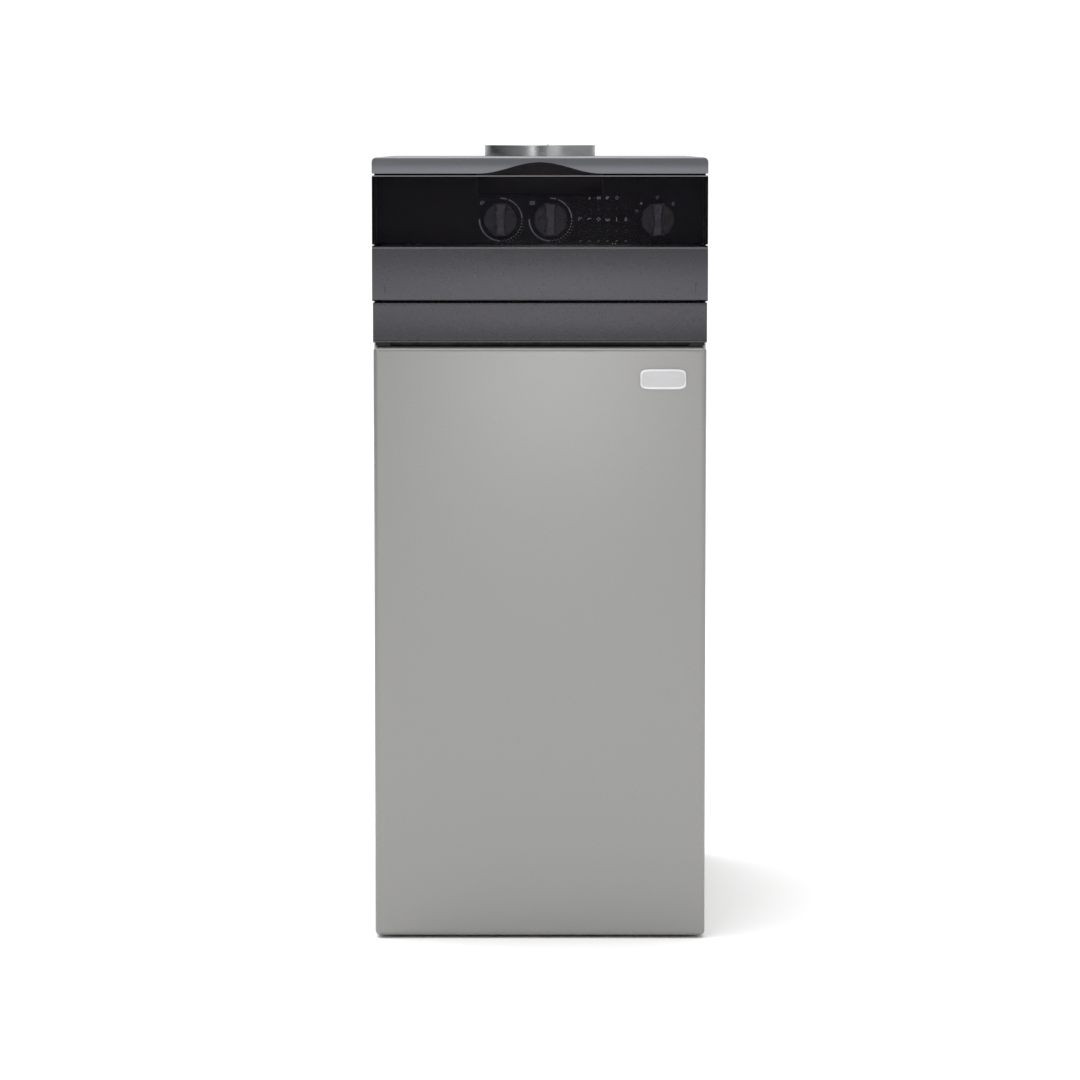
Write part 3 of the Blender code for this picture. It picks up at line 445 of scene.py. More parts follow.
def combine(obj, tools, operation):
    """Apply one Boolean for each tool, then drop the tool."""
    for tool in tools:
        step = obj.modifiers.new("step", "BOOLEAN")
        step.operation = operation
        step.solver = "EXACT"
        step.object = tool
        graph = bpy.context.evaluated_depsgraph_get()
        mesh = bpy.data.meshes.new_from_object(obj.evaluated_get(graph))
        obj.modifiers.clear()
        obj.data = mesh
        bpy.data.objects.remove(tool, do_unlink=True)
    return obj


def cut(obj, *tools):
    return combine(obj, tools, "DIFFERENCE")


def join(obj, *tools):
    return combine(obj, tools, "UNION")


def merge(objects):
    """Put several meshes in one object without joining their surfaces."""
    bm = bmesh.new()
    for obj in objects:
        bm.from_mesh(obj.data)
        bpy.data.objects.remove(obj, do_unlink=True)
    return linked(bm, "merged")


def tray(lo, hi, wall, open_axis, open_end, radius, segments=6):
    """Sheet tray: a rounded box hollowed from one side; open_end is that side's sign."""
    face = lo[open_axis] if open_end < 0 else hi[open_axis]
    outer = block(lo, hi, radius, segments, (open_axis, face))
    past = face + open_end * 10 * MM
    inner_lo = [v + wall for v in lo]
    inner_hi = [v - wall for v in hi]
    open_corner = inner_lo if open_end < 0 else inner_hi
    open_corner[open_axis] = past
    inner = block(inner_lo, inner_hi, max(radius - wall, 0.0), segments, (open_axis, past))
    return cut(outer, inner)


def dress(obj, name, finish, stands_for=(), body=None, slot=None, bevel=0.0, segments=2):
    """Name a piece, finish it, round its edges and let it ride on its body."""
    obj.name = name
    obj.data.name = name
    obj.data.materials.clear()
    obj.data.materials.append(MATERIALS[finish])
    obj.data.shade_smooth()
    if bevel > 0:
        soften(obj, bevel, segments)
    else:
        obj.data.set_sharp_from_angle(angle=math.radians(32))
        obj.modifiers.new("normals", "WEIGHTED_NORMAL").keep_sharp = True
    if stands_for:
        body = frame["nodes"][stands_for[0]]["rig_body"]
        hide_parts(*stands_for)
        slot = slot or node_slots()[stands_for[0]]
    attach(obj, body)
    return obj


def soften(obj, width, segments=2):
    """Small rounding on every sharp edge, with the flat faces kept flat in the shading."""
    bevel = obj.modifiers.new("rounding", "BEVEL")
    bevel.width = width
    bevel.segments = segments
    bevel.limit_method = "ANGLE"
    bevel.angle_limit = math.radians(35)
    bevel.use_clamp_overlap = True
    normals = obj.modifiers.new("normals", "WEIGHTED_NORMAL")
    normals.keep_sharp = False


def node_slots():
    """Material slot of each CAD node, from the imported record."""
    return {row["node"]: row["material_slot"] for row in frame["record"]["subparts"]}


def joint_axis(name):
    """Point that a joint turns about, at rest."""
    found = [joint for joint in frame["joints"] if joint["name"] == name]
    return Vector(found[0]["pos_m"])


def middle(node):
    lo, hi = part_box(node)
    return (lo + hi) / 2


# --- Front of the casing ----------------------------------------------------------------

def front_panel():
    lo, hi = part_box("front_panel")
    body = tray(lo, hi, SHEET, 1, 1, 5.0 * MM)
    dress(body, "front_panel_sheet", "satin_panel", ["front_panel"], bevel=0.15 * MM)


def badge_outline(centre, half_w, half_h, steps=72):
    """Barrel shape: a rectangle with bowed sides and well-rounded corners."""
    outline = []
    for k in range(steps):
        turn = 2 * math.pi * (k + 0.5) / steps
        point = []
        for part, half in ((math.cos(turn), half_w), (math.sin(turn), half_h)):
            point.append(half * math.copysign(abs(part) ** 0.36, part))
        outline.append((centre.x + point[0], centre.z + point[1]))
    return outline


def badge():
    """Blank plate: raised polished rim round a brushed field."""
    lo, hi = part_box("badge_plate")
    centre = (lo + hi) / 2
    half = (hi - lo) / 2
    rim = 1.8 * MM
    depth = 0.8 * MM
    plate = prism(1, badge_outline(centre, half.x, half.z), lo.y, hi.y)
    field = badge_outline(centre, half.x - rim, half.z - rim)
    plate = cut(plate, prism(1, field, lo.y - MM, lo.y + depth))
    obj = dress(plate, "badge_rim", "silver", ["badge_plate"], bevel=0.5 * MM, segments=3)
    obj.data.materials.append(MATERIALS["silver_field"])
    for face in obj.data.polygons:
        if face.normal.y < -0.9 and face.center.y > lo.y + depth / 2:
            face.material_index = 1


def bowed(start, end, sag, steps=12):
    """Points of a shallow parabola between two heights; sag is how far its ends lie back."""
    points = []
    for k in range(steps + 1):
        t = 1 - 2 * k / steps
        points.append((sag * t * t, start + (end - start) * k / steps))
    return points


def top_cover():
    """Lid with a crowned apron and a bell-shaped finger notch in its front edge."""
    lo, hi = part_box("top_cover")
    flue = middle("flue_collar")
    corner = 5.0 * MM
    edge = 0.9 * MM
    bow = 0.5 * MM
    side = [(lo.y + y, z) for y, z in bowed(lo.z, hi.z - edge, bow)]
    side += [(lo.y + edge + bow, hi.z), (hi.y, hi.z), (hi.y, lo.z)]
    body = prism(0, side, lo.x, hi.x)
    width = hi.x - lo.x
    envelope = prism(
        1,
        rounded(
            [(lo.x, lo.z - corner), (lo.x, hi.z), (hi.x, hi.z), (hi.x, lo.z - corner)],
            [0, corner, corner, 0], 8,
        ),
        lo.y - corner, hi.y + corner,
    )
    body = combine(body, [envelope], "INTERSECT")
    inner = rounded(
        [
            (lo.x + SHEET, lo.z - corner), (lo.x + SHEET, hi.z - SHEET),
            (hi.x - SHEET, hi.z - SHEET), (hi.x - SHEET, lo.z - corner),
        ],
        [0, corner - SHEET, corner - SHEET, 0], 8,
    )
    room = prism(1, inner, lo.y + SHEET + bow, hi.y - SHEET)
    half = 64.5 * MM
    rise = 11.8 * MM
    steps = 48
    arch = [(half, lo.z - rise)]
    for k in range(steps + 1):
        x = half * (1 - 2 * k / steps)
        arch.append((x, lo.z + rise * (0.5 + 0.5 * math.cos(math.pi * x / half))))
    arch.append((-half, lo.z - rise))
    notch = prism(1, arch, lo.y - corner, lo.y + corner)
    hole = rod(2, (flue.x, flue.y), width * 0.191, hi.z - corner, hi.z + corner, 96)
    body = cut(body, room, notch, hole)
    dress(body, "lid_sheet", "lid_paint", ["top_cover"], bevel=0.3 * MM, segments=3)


def door_painted_part():
    """Lower part of the control door; its bottom edge rolls round the hinge axis."""
    lo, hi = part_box("door_lower")
    hinge = joint_axis("control_door_hinge")
    crown = 0.6 * MM
    roll = 4.5 * MM
    face = [(lo.y + y, z) for y, z in bowed(hi.z - roll, lo.z + roll, crown)]
    # The top edge rolls back into the window's ledge and the bottom edge round the hinge
    top_roll = []
    bottom_roll = []
    for k in range(8):
        turn = math.pi / 2 * k / 8
        depth = lo.y + crown + roll * (1 - math.cos(turn))
        rise = roll * math.sin(turn)
        bottom_roll.append((depth, lo.z + roll - rise))
        top_roll.append((depth, hi.z - roll + rise))
    outer = [(lo.y + crown + roll, hi.z)] + top_roll[:0:-1] + face + bottom_roll[1:]
    outer += [
        (lo.y + crown + roll, lo.z), (hinge.y + 10 * MM, lo.z),
        (hi.y, hinge.z + 5 * MM), (hi.y, hi.z),
    ]
    skin = lo.y + SKIN + 0.4 * MM
    deep = hi.y + 9 * MM
    ceiling = hi.z - 3.2 * MM
    inner = rounded(
        [(skin, ceiling), (skin, lo.z + SKIN), (deep, lo.z + SKIN), (deep, ceiling)],
        [3.4 * MM, 3.4 * MM, 0, 0],
    )
    wall = hi.x - SKIN
    body = cut(prism(0, outer, lo.x, hi.x), prism(0, inner, -wall, wall))
    tongue_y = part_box("door_window")[0].y + 2 * MM
    tongue_room = block(
        (-166 * MM, tongue_y, hi.z - 10 * MM), (166 * MM, tongue_y + 2.3 * MM, hi.z + 5 * MM)
    )
    bosses = []
    gaps = []
    for sign in (-1, 1):
        ends = sorted((sign * 170.6 * MM, sign * 174.5 * MM))
        bosses.append(rod(0, (hinge.y, hinge.z), 3.0 * MM, *ends))
        ends = sorted((sign * 165.5 * MM, sign * 170.5 * MM))
        gaps.append(
            block((ends[0], lo.y + SKIN, lo.z - 4 * MM), (ends[1], deep, hinge.z + 3.1 * MM))
        )
        ends = sorted((sign * 169 * MM, sign * 174.8 * MM))
        gaps.append(rod(0, (hinge.y, hinge.z), 1.8 * MM, *ends))
        # Shallow mark on the face where the clip of the hinge sits behind it
        x = sign * 162.5 * MM
        gaps.append(
            block(
                (x - 0.6 * MM, lo.y - MM, hinge.z + 4.0 * MM),
                (x + 0.6 * MM, lo.y + 0.75 * MM, hinge.z + 14.1 * MM),
            )
        )
    body = cut(join(body, *bosses), tongue_room, *gaps)
    dress(body, "door_painted_part", "door_paint", ["door_lower"], bevel=0.3 * MM, segments=3)


def door_smoked_part():
    lo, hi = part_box("door_window")
    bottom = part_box("door_lower")[1].z + 1.1 * MM
    body = tray((lo.x, lo.y, bottom), hi, SKIN, 1, 1, 1.2 * MM)
    tongue = block(
        (-165 * MM, lo.y + 2.1 * MM, lo.z), (165 * MM, lo.y + 4 * MM, bottom + 2.1 * MM)
    )
    obj = dress(join(body, tongue), "door_smoked_part", "smoked", ["door_window"])
    # Light runs a long way through the returns, so they look opaque; the top edge gets a lighter
    # grey as a painted highlight
    obj.data.materials.append(MATERIALS["smoked_edge"])
    obj.data.materials.append(MATERIALS["painted_highlight_edge"])
    for face in obj.data.polygons:
        if face.center.y > lo.y + SKIN + 0.1 * MM or abs(face.normal.x) > 0.5:
            face.material_index = 1
        if face.normal.y < -0.1 and face.normal.z > 0.1:
            face.material_index = 2


def lower_trim():
    """Fixed strip below the door, slightly hollow, with a fine groove near its lower edge."""
    lo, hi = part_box("lower_trim")
    edge = 1.2 * MM
    hollow = 0.6 * MM
    face = [(lo.y + hollow - y, z) for y, z in bowed(hi.z - edge, lo.z + edge, hollow)]
    outer = [(lo.y + edge, hi.z), (lo.y + 0.3 * MM, hi.z - 0.35 * MM)] + face
    outer += [(lo.y + 0.3 * MM, lo.z + 0.35 * MM), (lo.y + edge, lo.z), (hi.y, lo.z), (hi.y, hi.z)]
    room = block(
        (lo.x + SKIN, lo.y + SKIN + hollow, lo.z + SKIN), (hi.x - SKIN, hi.y + SKIN, hi.z - SKIN)
    )
    groove_z = lo.z + 1.9 * MM
    groove = block(
        (lo.x - MM, lo.y - MM, groove_z), (hi.x + MM, lo.y + 0.9 * MM, groove_z + 0.9 * MM)
    )
    body = cut(prism(0, outer, lo.x, hi.x), room, groove)
    # The strip wears the darker copy of the door paint as painted shade
    obj = dress(body, "lower_trim_strip", "trim_painted_shade", ["lower_trim"], bevel=0.2 * MM)
    # The groove's floor is painted black: partly a dark seam line, partly painted shade in the
    # groove
    obj.data.materials.append(MATERIALS["black_plastic"])
    for face in obj.data.polygons:
        inside = groove_z - 0.1 * MM < face.center.z < groove_z + MM
        if inside and lo.y + 0.3 * MM < face.center.y < lo.y + MM:
            face.material_index = 1


def crossbar():
    """Channel that keeps its CAD shape, in a near-black zinc that is painted shade for the gap; its
    tabs show in the gap above the front panel.
    """
    obj = frame["nodes"]["front_crossbar"]
    obj.data.materials.clear()
    obj.data.materials.append(MATERIALS["painted_shade_zinc"])


# --- Control fascia ---------------------------------------------------------------------

KNOBS = ("knob_dhw", "knob_heating", "knob_selector")
LAMP_ROWS = {"indicator_row_upper": 4, "indicator_row_lower": 6}
FASCIA_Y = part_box("indicator_row_upper")[0].y - 0.1 * MM
INK_HEIGHT = 0.06 * MM


def fascia():
    lo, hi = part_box("control_fascia")
    hinge = joint_axis("control_door_hinge")
    wall = 2.5 * MM
    inner_y = FASCIA_Y + wall
    body = tray((lo.x, FASCIA_Y, lo.z), (hi.x, -271.3 * MM, hi.z), wall, 1, 1, 1.5 * MM, 4)
    pocket_foot = hi.z - 36 * MM
    pocket = block(
        (-68 * MM, FASCIA_Y + MM, pocket_foot - 2 * MM), (68 * MM, hi.y, hi.z - 0.5 * MM), 1.5 * MM
    )
    body = join(body, pocket)
    ears = []
    holes = [
        block((-66 * MM, -290 * MM, pocket_foot), (66 * MM, hi.y - 2 * MM, hi.z - 2 * MM), 3 * MM, 5)
    ]
    radius = hinge.y - lo.y
    for x in (-168 * MM, 168 * MM):
        outline = [(inner_y - MM, hinge.z + radius)]
        for k in range(17):
            turn = math.pi / 2 + math.pi * k / 16
            outline.append((hinge.y + radius * math.cos(turn), hinge.z + radius * math.sin(turn)))
        outline.append((inner_y - MM, hinge.z - radius))
        ears.append(prism(0, outline, x - 2 * MM, x + 2 * MM))
        holes.append(rod(0, (hinge.y, hinge.z), 1.8 * MM, x - 4 * MM, x + 4 * MM, 24))
    for name in KNOBS:
        centre = middle(name)
        holes.append(rod(1, (centre.x, centre.z), 4.5 * MM, FASCIA_Y - MM, inner_y + MM))
    for name in LAMP_ROWS:
        z = middle(name).z
        for x in lamp_places(name):
            holes.append(rod(1, (x, z), 0.95 * MM, FASCIA_Y - MM, inner_y + MM, 24))
    body = cut(join(body, *ears), *holes)
    obj = dress(body, "control_fascia_moulding", "fascia_plastic", ["control_fascia"])
    # The pocket's inner faces get the lighter copy of the fascia plastic, painted light against the
    # shade in the recess
    obj.data.materials.append(MATERIALS["pocket_painted_light"])
    for face in obj.data.polygons:
        x, y, z = face.center
        inside = abs(x) < 66.1 * MM and z > pocket_foot - 0.1 * MM
        if inside and FASCIA_Y + 0.1 * MM < y < hi.y - MM:
            face.material_index = 1
    beads = []
    for x in (lo.x + 2.2 * MM, hi.x - 2.2 * MM):
        beads.append(
            block(
                (x - 0.35 * MM, FASCIA_Y - 0.5 * MM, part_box("door_lower")[1].z),
                (x + 0.35 * MM, FASCIA_Y + 0.5 * MM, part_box("door_window")[1].z - 1.5 * MM),
                0.3 * MM,
            )
        )
    dress(merge(beads), "fascia_edge_beads", "knob_plastic", body="casing")


def lamp_places(name):
    """X of each lamp of a row, spread evenly over the row's light guide."""
    lo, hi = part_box(name)
    inset = 3.6 * MM
    count = LAMP_ROWS[name]
    pitch = (hi.x - lo.x - 2 * inset) / (count - 1)
    return [lo.x + inset + pitch * k for k in range(count)]


def lamps():
    """Light guide behind the fascia with a small domed lens in each hole."""
    for name in LAMP_ROWS:
        lo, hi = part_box(name)
        z = (lo.z + hi.z) / 2
        bar = block((lo.x, FASCIA_Y + 2.8 * MM, lo.z), (hi.x, hi.y, hi.z), 0.6 * MM)
        lenses = []
        for x in lamp_places(name):
            profile = [
                (0, FASCIA_Y + 0.15 * MM), (0.5 * MM, FASCIA_Y + 0.2 * MM),
                (0.8 * MM, FASCIA_Y + 0.5 * MM), (0.85 * MM, FASCIA_Y + 0.9 * MM),
                (0.85 * MM, FASCIA_Y + 3.4 * MM), (0, FASCIA_Y + 3.4 * MM),
            ]
            lenses.append(lathe(1, (x, z), profile, 24))
        dress(join(bar, *lenses), name + "_lenses", "lamp", [name])


def knob(name):
    """Round disc with a waisted grip bar that slopes down to its foot."""
    lo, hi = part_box(name)
    centre = (lo + hi) / 2
    radius = (hi.x - lo.x) / 2
    face = FASCIA_Y - 0.3 * MM
    disc = lo.y + 6.7 * MM
    profile = [
        (0, hi.y), (2.5 * MM, hi.y), (3 * MM, hi.y - 0.5 * MM), (3 * MM, face),
        (radius - 0.5 * MM, face), (radius, face - 0.5 * MM), (radius, disc + 1.4 * MM),
        (radius - 0.3 * MM, disc + 0.5 * MM), (radius - 0.9 * MM, disc), (radius - 1.7 * MM, disc),
        (radius - 2.1 * MM, disc + 0.35 * MM), (0, disc + 0.35 * MM),
    ]
    body = lathe(1, (centre.x, centre.z), profile, 96)
    grip = knob_grip_painted_highlight(centre, radius, lo.y, disc)
    body = join(body, grip)
    obj = dress(body, name + "_cap", "knob_plastic", [name], bevel=0.25 * MM, segments=3)
    # The grip's faces get the lighter copy of the knob plastic, a painted highlight; the knob is one
    # moulding
    obj.data.materials.append(MATERIALS["knob_grip_painted_highlight"])
    for face in obj.data.polygons:
        if face.center.y < disc - 0.8 * MM:
            face.material_index = 1


def knob_grip_painted_highlight(centre, radius, top_y, disc_y):
    """Hourglass bar with an arched crest, narrower at its crest than at its foot."""
    reach = radius * 0.955
    steps = 12
    fall = 3.8 * MM
    bm = bmesh.new()
    layers = (
        (disc_y + MM, 1.25, 1.0, 0.0), (disc_y - 0.6 * MM, 1.10, 1.0, 0.0),
        (top_y + 1.2 * MM, 0.86, 0.985, fall), (top_y + 0.4 * MM, 0.76, 0.965, fall),
        (top_y, 0.56, 0.93, fall),
    )
    rings = []
    for y, wide, long, drop in layers:
        loop = []
        for sign in (1, -1):
            for k in range(steps + 1):
                t = 1 - 2 * k / steps
                half = (3.9 + 2.7 * t * t) * MM * wide
                x = centre.x + sign * half
                z = centre.z + sign * t * reach * long
                loop.append(bm.verts.new((x, y + drop * t * t, z)))
        rings.append(loop)
    count = len(rings[0])
    for one, two in zip(rings, rings[1:]):
        for i in range(count):
            j = (i + 1) % count
            bm.faces.new((one[i], one[j], two[j], two[i]))
    bm.faces.new(rings[0])
    bm.faces.new(rings[-1])
    return solid(bm)


def ribbon(points, width):
    """Flat printed line with mitred corners, as a thin solid on the fascia's face."""
    closed = points[0] == points[-1]
    path = [Vector(p) for p in (points[:-1] if closed else points)]
    count = len(path)
    left, right = [], []
    for i, here in enumerate(path):
        before = path[i - 1] if closed or i > 0 else here
        after = path[(i + 1) % count] if closed or i < count - 1 else here
        into = (here - before).normalized()
        away = (after - here).normalized()
        turned_back = (into + away).length <= 1e-6
        heading = into if turned_back else (into + away).normalized()
        across = Vector((-heading.y, heading.x))
        fit = abs(Vector((-away.y, away.x)).dot(across)) if away.length else 1.0
        fit = max(0.5, fit)
        left.append(here + across * width / 2 / fit)
        right.append(here - across * width / 2 / fit)
    bm = bmesh.new()
    y0 = FASCIA_Y - INK_HEIGHT
    y1 = FASCIA_Y - 0.005 * MM
    rows = [
        [bm.verts.new((p.x, y, p.y)) for p in side] for side in (left, right) for y in (y0, y1)
    ]
    front_left, back_left, front_right, back_right = rows
    spans = range(count if closed else count - 1)
    for i in spans:
        j = (i + 1) % count
        bm.faces.new((front_left[i], front_left[j], front_right[j], front_right[i]))
        bm.faces.new((back_left[i], back_left[j], back_right[j], back_right[i]))
        bm.faces.new((front_left[i], front_left[j], back_left[j], back_left[i]))
        bm.faces.new((front_right[i], front_right[j], back_right[j], back_right[i]))
    if not closed:
        for i in (0, count - 1):
            bm.faces.new((front_left[i], front_right[i], back_right[i], back_left[i]))
    return solid(bm)


def on_circle(centre, radius, angle):
    """Point on a circle; the angle is in degrees clockwise from twelve o'clock."""
    turn = math.radians(angle)
    return (centre[0] + radius * math.sin(turn), centre[1] + radius * math.cos(turn))


def arc(centre, radius, start, end, steps=40):
    return [on_circle(centre, radius, start + (end - start) * k / steps) for k in range(steps + 1)]


def dot(x, z, radius):
    return rod(1, (x, z), radius, FASCIA_Y - INK_HEIGHT, FASCIA_Y - 0.005 * MM, 12)


def knob_scale(x, z):
    """Heavy arc down the left, a dotted stretch below right, and a fine arc up to the top."""
    radius = 22.3 * MM
    marks = [ribbon(arc((x, z), radius, 271, 181), 1.5 * MM)]
    for start, end in ((0, 16), (21, 49), (52, 87)):
        marks.append(ribbon(arc((x, z), radius, start, end, 16), 1.1 * MM))
    for count, first, reach, size in ((11, 93, radius, 0.75 * MM), (8, 108, 24.9 * MM, 0.5 * MM)):
        for k in range(count):
            marks.append(dot(*on_circle((x, z), reach, first + 8.2 * k), size))
    return marks


def glyph(kind, x, z, size):
    """Small generic symbol, drawn in strokes on a square from -1 to 1."""
    marks = []
    for width, points in GLYPHS[kind]:
        placed = [(x + px * size, z + pz * size) for px, pz in points]
        marks.append(ribbon(placed, 0.75 * width * size))
    return marks


def hoop(x, z, radius):
    return arc((x, z), radius, 0, 360, 10)


def star_spoke(turn):
    x = math.sin(turn) * 0.8
    z = math.cos(turn) * 0.8
    return [(x, z), (-x, -z)]


# Strokes of each symbol: (line width, points)
GLYPHS = {
    "tap": [
        (0.45, [(-1.0, 0.1), (0.1, 0.9)]), (0.55, [(-0.5, -0.8), (-0.9, 0.2)]),
        (0.5, [(-0.5, -0.7), (0.7, 0.5)]),
    ],
    "radiator": [(0.32, [(-0.9 + 0.45 * k, -0.8), (-0.9 + 0.45 * k, 0.8)]) for k in range(5)]
    + [(0.25, [(-1.05, z), (1.05, z)]) for z in (-0.45, 0.45)],
    "drop": [(0.5, hoop(0, -0.35, 0.35)), (0.25, [(0.0, 0.9), (0.0, 0.1)])],
    "ring": [(0.28, hoop(0, 0, 0.75))],
    "flag": [(0.3, [(-0.8, -0.8), (-0.8, 0.8), (0.9, 0.8), (-0.4, -0.1)])],
    "arc": [(0.5, arc((0.0, -0.4), 0.9, -80, 60, 10))],
    "fan": [(0.3, [(0, 0.9), (0.9, 0), (0, -0.9), (-0.9, 0), (0, 0.9)])],
    "tub": [
        (0.45, [(-1.0, 0.3), (-0.7, -0.6), (0.7, -0.6), (1.0, 0.3)]),
        (0.3, [(-0.5, 0.1), (0.5, 0.1)]),
    ],
    "thermometer": [(0.35, [(0, 0.9), (0, -0.4)]), (0.4, hoop(0, -0.6, 0.22))],
    "flame": [
        (0.4, [(0.1, 0.95), (-0.5, -0.1), (-0.3, -0.8), (0.35, -0.8), (0.5, -0.1), (0.1, 0.95)]),
    ],
    "star": [(0.4, star_spoke(turn)) for turn in (0, 1.05, 2.1)],
    "reset": [(0.28, arc((0.1, 0.1), 0.7, -140, 110, 10)), (0.28, [(0.2, -0.9), (0.8, -0.2)])],
    "dash": [(0.45, [(-0.7, -0.3), (0.7, 0.3)])],
}


def prints():
    """Scales, symbols and lamp marks on the fascia, in one thin printed layer."""
    marks = []
    for name in KNOBS[:2]:
        centre = middle(name)
        marks += knob_scale(centre.x, centre.z)
        kind = "tap" if name == "knob_dhw" else "radiator"
        marks += glyph(kind, centre.x - 19 * MM, centre.z + 17.4 * MM, 2.6 * MM)
    upper = middle("indicator_row_upper").z
    for x, kind in zip(lamp_places("indicator_row_upper"), ("drop", "radiator", "tap", "ring")):
        marks += glyph(kind, x, upper + 11.4 * MM, 1.9 * MM)
    lower = middle("indicator_row_lower").z
    kinds = ("flag", "arc", "fan", "tub", "thermometer", "flame")
    for x, kind in zip(lamp_places("indicator_row_lower"), kinds):
        marks += glyph(kind, x, lower + 11.6 * MM, 2.1 * MM)
        marks += glyph("dash", x, lower - 11.1 * MM, 1.6 * MM)
    centre = middle("knob_selector")
    places = {"reset": (-68, 23.4), "star": (-45, 23.8), "ring": (0, 23.3), "flame": (45, 23.4)}
    for kind, (angle, reach) in places.items():
        x, z = on_circle((centre.x, centre.z), reach * MM, angle)
        marks += glyph(kind, x, z, 1.9 * MM)
    dress(merge(marks), "fascia_prints", "ink", body="casing", slot="lamp")


# --- Flue and sheet metal ---------------------------------------------------------------

def flue_collar():
    """Rolled spigot with a stiffening bead, a lapped seam at the front and a foot flange."""
    lo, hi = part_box("flue_collar")
    centre = (lo + hi) / 2
    radius = 63 * MM
    flange = (hi.x - lo.x) / 2
    inner = radius - SHEET
    profile = [
        (flange, lo.z), (flange, lo.z + 1.5 * MM), (radius + 1.5 * MM, lo.z + 1.5 * MM),
        (radius, lo.z + 3 * MM), (radius, hi.z - 1.3 * MM), (radius - 0.25 * MM, hi.z - 0.7 * MM),
        (radius - 0.6 * MM, hi.z - 0.5 * MM), (inner + 0.25 * MM, hi.z - 0.7 * MM),
        (inner, hi.z - 1.1 * MM), (inner, lo.z),
    ]
    body = lathe(2, (centre.x, centre.y), profile, 128, closed=True)
    lap = []
    lap_sides = (
        (radius + 0.08 * MM, range(-83, -80)), (radius - 0.6 * MM, range(-81, -84, -1)),
    )
    for reach, angles in lap_sides:
        for angle in angles:
            turn = math.radians(angle)
            lap.append((centre.x + reach * math.cos(turn), centre.y + reach * math.sin(turn)))
    body = join(body, prism(2, lap, lo.z + 3 * MM, hi.z))
    dress(body, "flue_collar_spigot", "flue_zinc", ["flue_collar"])


def side_panels():
    for side, sign in (("left", -1), ("right", 1)):
        name = f"side_panel_{side}"
        lo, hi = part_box(name)
        body = tray(lo, hi, SHEET, 0, -sign, 2.5 * MM)
        dress(body, name + "_sheet", "side_paint", [name], bevel=0.15 * MM)


def screw(centre, axis, sign, radius=3.6 * MM):
    """Pan-head screw with a cross recess; sign is the way the head faces along the axis."""
    rim = 0.6 * MM
    dome = 1.4 * MM
    face = centre[axis]
    others = [i for i in range(3) if i != axis]
    flat = (centre[others[0]], centre[others[1]])
    profile = [(0, face - sign * MM), (radius, face - sign * MM), (radius, face + sign * rim)]
    steps = 6
    for k in range(1, steps):
        turn = math.pi / 2 * k / steps
        height = rim + dome * math.sin(turn)
        profile.append((radius * math.cos(turn), face + sign * height))
    profile.append((0, face + sign * (rim + dome)))
    head = lathe(axis, flat, profile, 28)
    slots = []
    for long_axis in others:
        lo = [c - 0.45 * MM for c in centre]
        hi = [c + 0.45 * MM for c in centre]
        lo[long_axis] -= 1.6 * MM
        hi[long_axis] += 1.6 * MM
        lo[axis], hi[axis] = sorted((face + sign * 0.7 * MM, face + sign * 4 * MM))
        slots.append(block(lo, hi))
    return cut(head, *slots)


def port_centres():
    """Where each pipe leaves the rear sheet: (x, z, radius of the hole)."""
    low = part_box("return_pipe")[0].z + 16.6 * MM
    side = middle("return_pipe").x
    gas = middle("gas_pipe")
    return {
        "flow_pipe": (side, flow_height(), 19.0 * MM), "return_pipe": (side, low, 19.0 * MM),
        "gas_pipe": (gas.x, low, 15.5 * MM),
    }


def flow_height():
    """The flow pipe runs level, so its threaded end gives its height."""
    lo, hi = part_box("flow_pipe")
    return (lo.z + hi.z) / 2


def back_panel():
    """Rear sheet with its cut-outs, folded edges and fixing screws."""
    lo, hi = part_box("back_panel")
    body = tray(lo, hi, SHEET, 1, -1, 1.0 * MM)
    deep = (hi.y - 5 * MM, hi.y + 5 * MM)
    opening = block((-95 * MM, deep[0], hi.z - 185 * MM), (95 * MM, deep[1], hi.z - 105 * MM))
    holes = [opening]
    for x, z, radius in port_centres().values():
        holes.append(rod(1, (x, z), radius, *deep, 64))
    gland = middle("cable_gland")
    holes.append(rod(1, (gland.x, gland.z), 8.5 * MM, *deep, 48))
    body = cut(body, *holes)
    dress(body, "back_panel_sheet", "zinc", ["back_panel"], bevel=0.15 * MM)
    screws = []
    rows = 5
    for x in (lo.x + 8 * MM, hi.x - 8 * MM):
        for k in range(rows):
            z = lo.z + 20 * MM + (hi.z - lo.z - 40 * MM) * k / (rows - 1)
            screws.append(screw((x, hi.y, z), 1, 1))
    dress(merge(screws), "back_panel_screws", "steel", body="casing")


def port_threads():
    """Male thread round the end of each pipe that leaves the rear of the case."""
    rear = cad_bounds[1][1]
    pitch = 1.8 * MM
    for name, radius, finish in (
        ("flow_pipe", 16.6 * MM, "copper"), ("return_pipe", 16.6 * MM, "copper"),
        ("gas_pipe", 13.2 * MM, "steel"),
    ):
        x, z, _ = port_centres()[name]
        profile = [(radius - 0.3 * MM, rear - 16 * MM)]
        for k in range(8):
            start = rear - 15.6 * MM + pitch * k
            profile.append((radius + 0.05 * MM, start))
            profile.append((radius + 0.75 * MM, start + 0.42 * pitch))
            profile.append((radius + 0.75 * MM, start + 0.58 * pitch))
        profile.append((radius + 0.05 * MM, rear - 0.9 * MM))
        profile.append((radius - 0.3 * MM, rear - 0.6 * MM))
        sleeve = lathe(1, (x, z), profile, 64, closed=True)
        dress(sleeve, name + "_thread", finish, body="casing")


# --- Floor and light --------------------------------------------------------------------

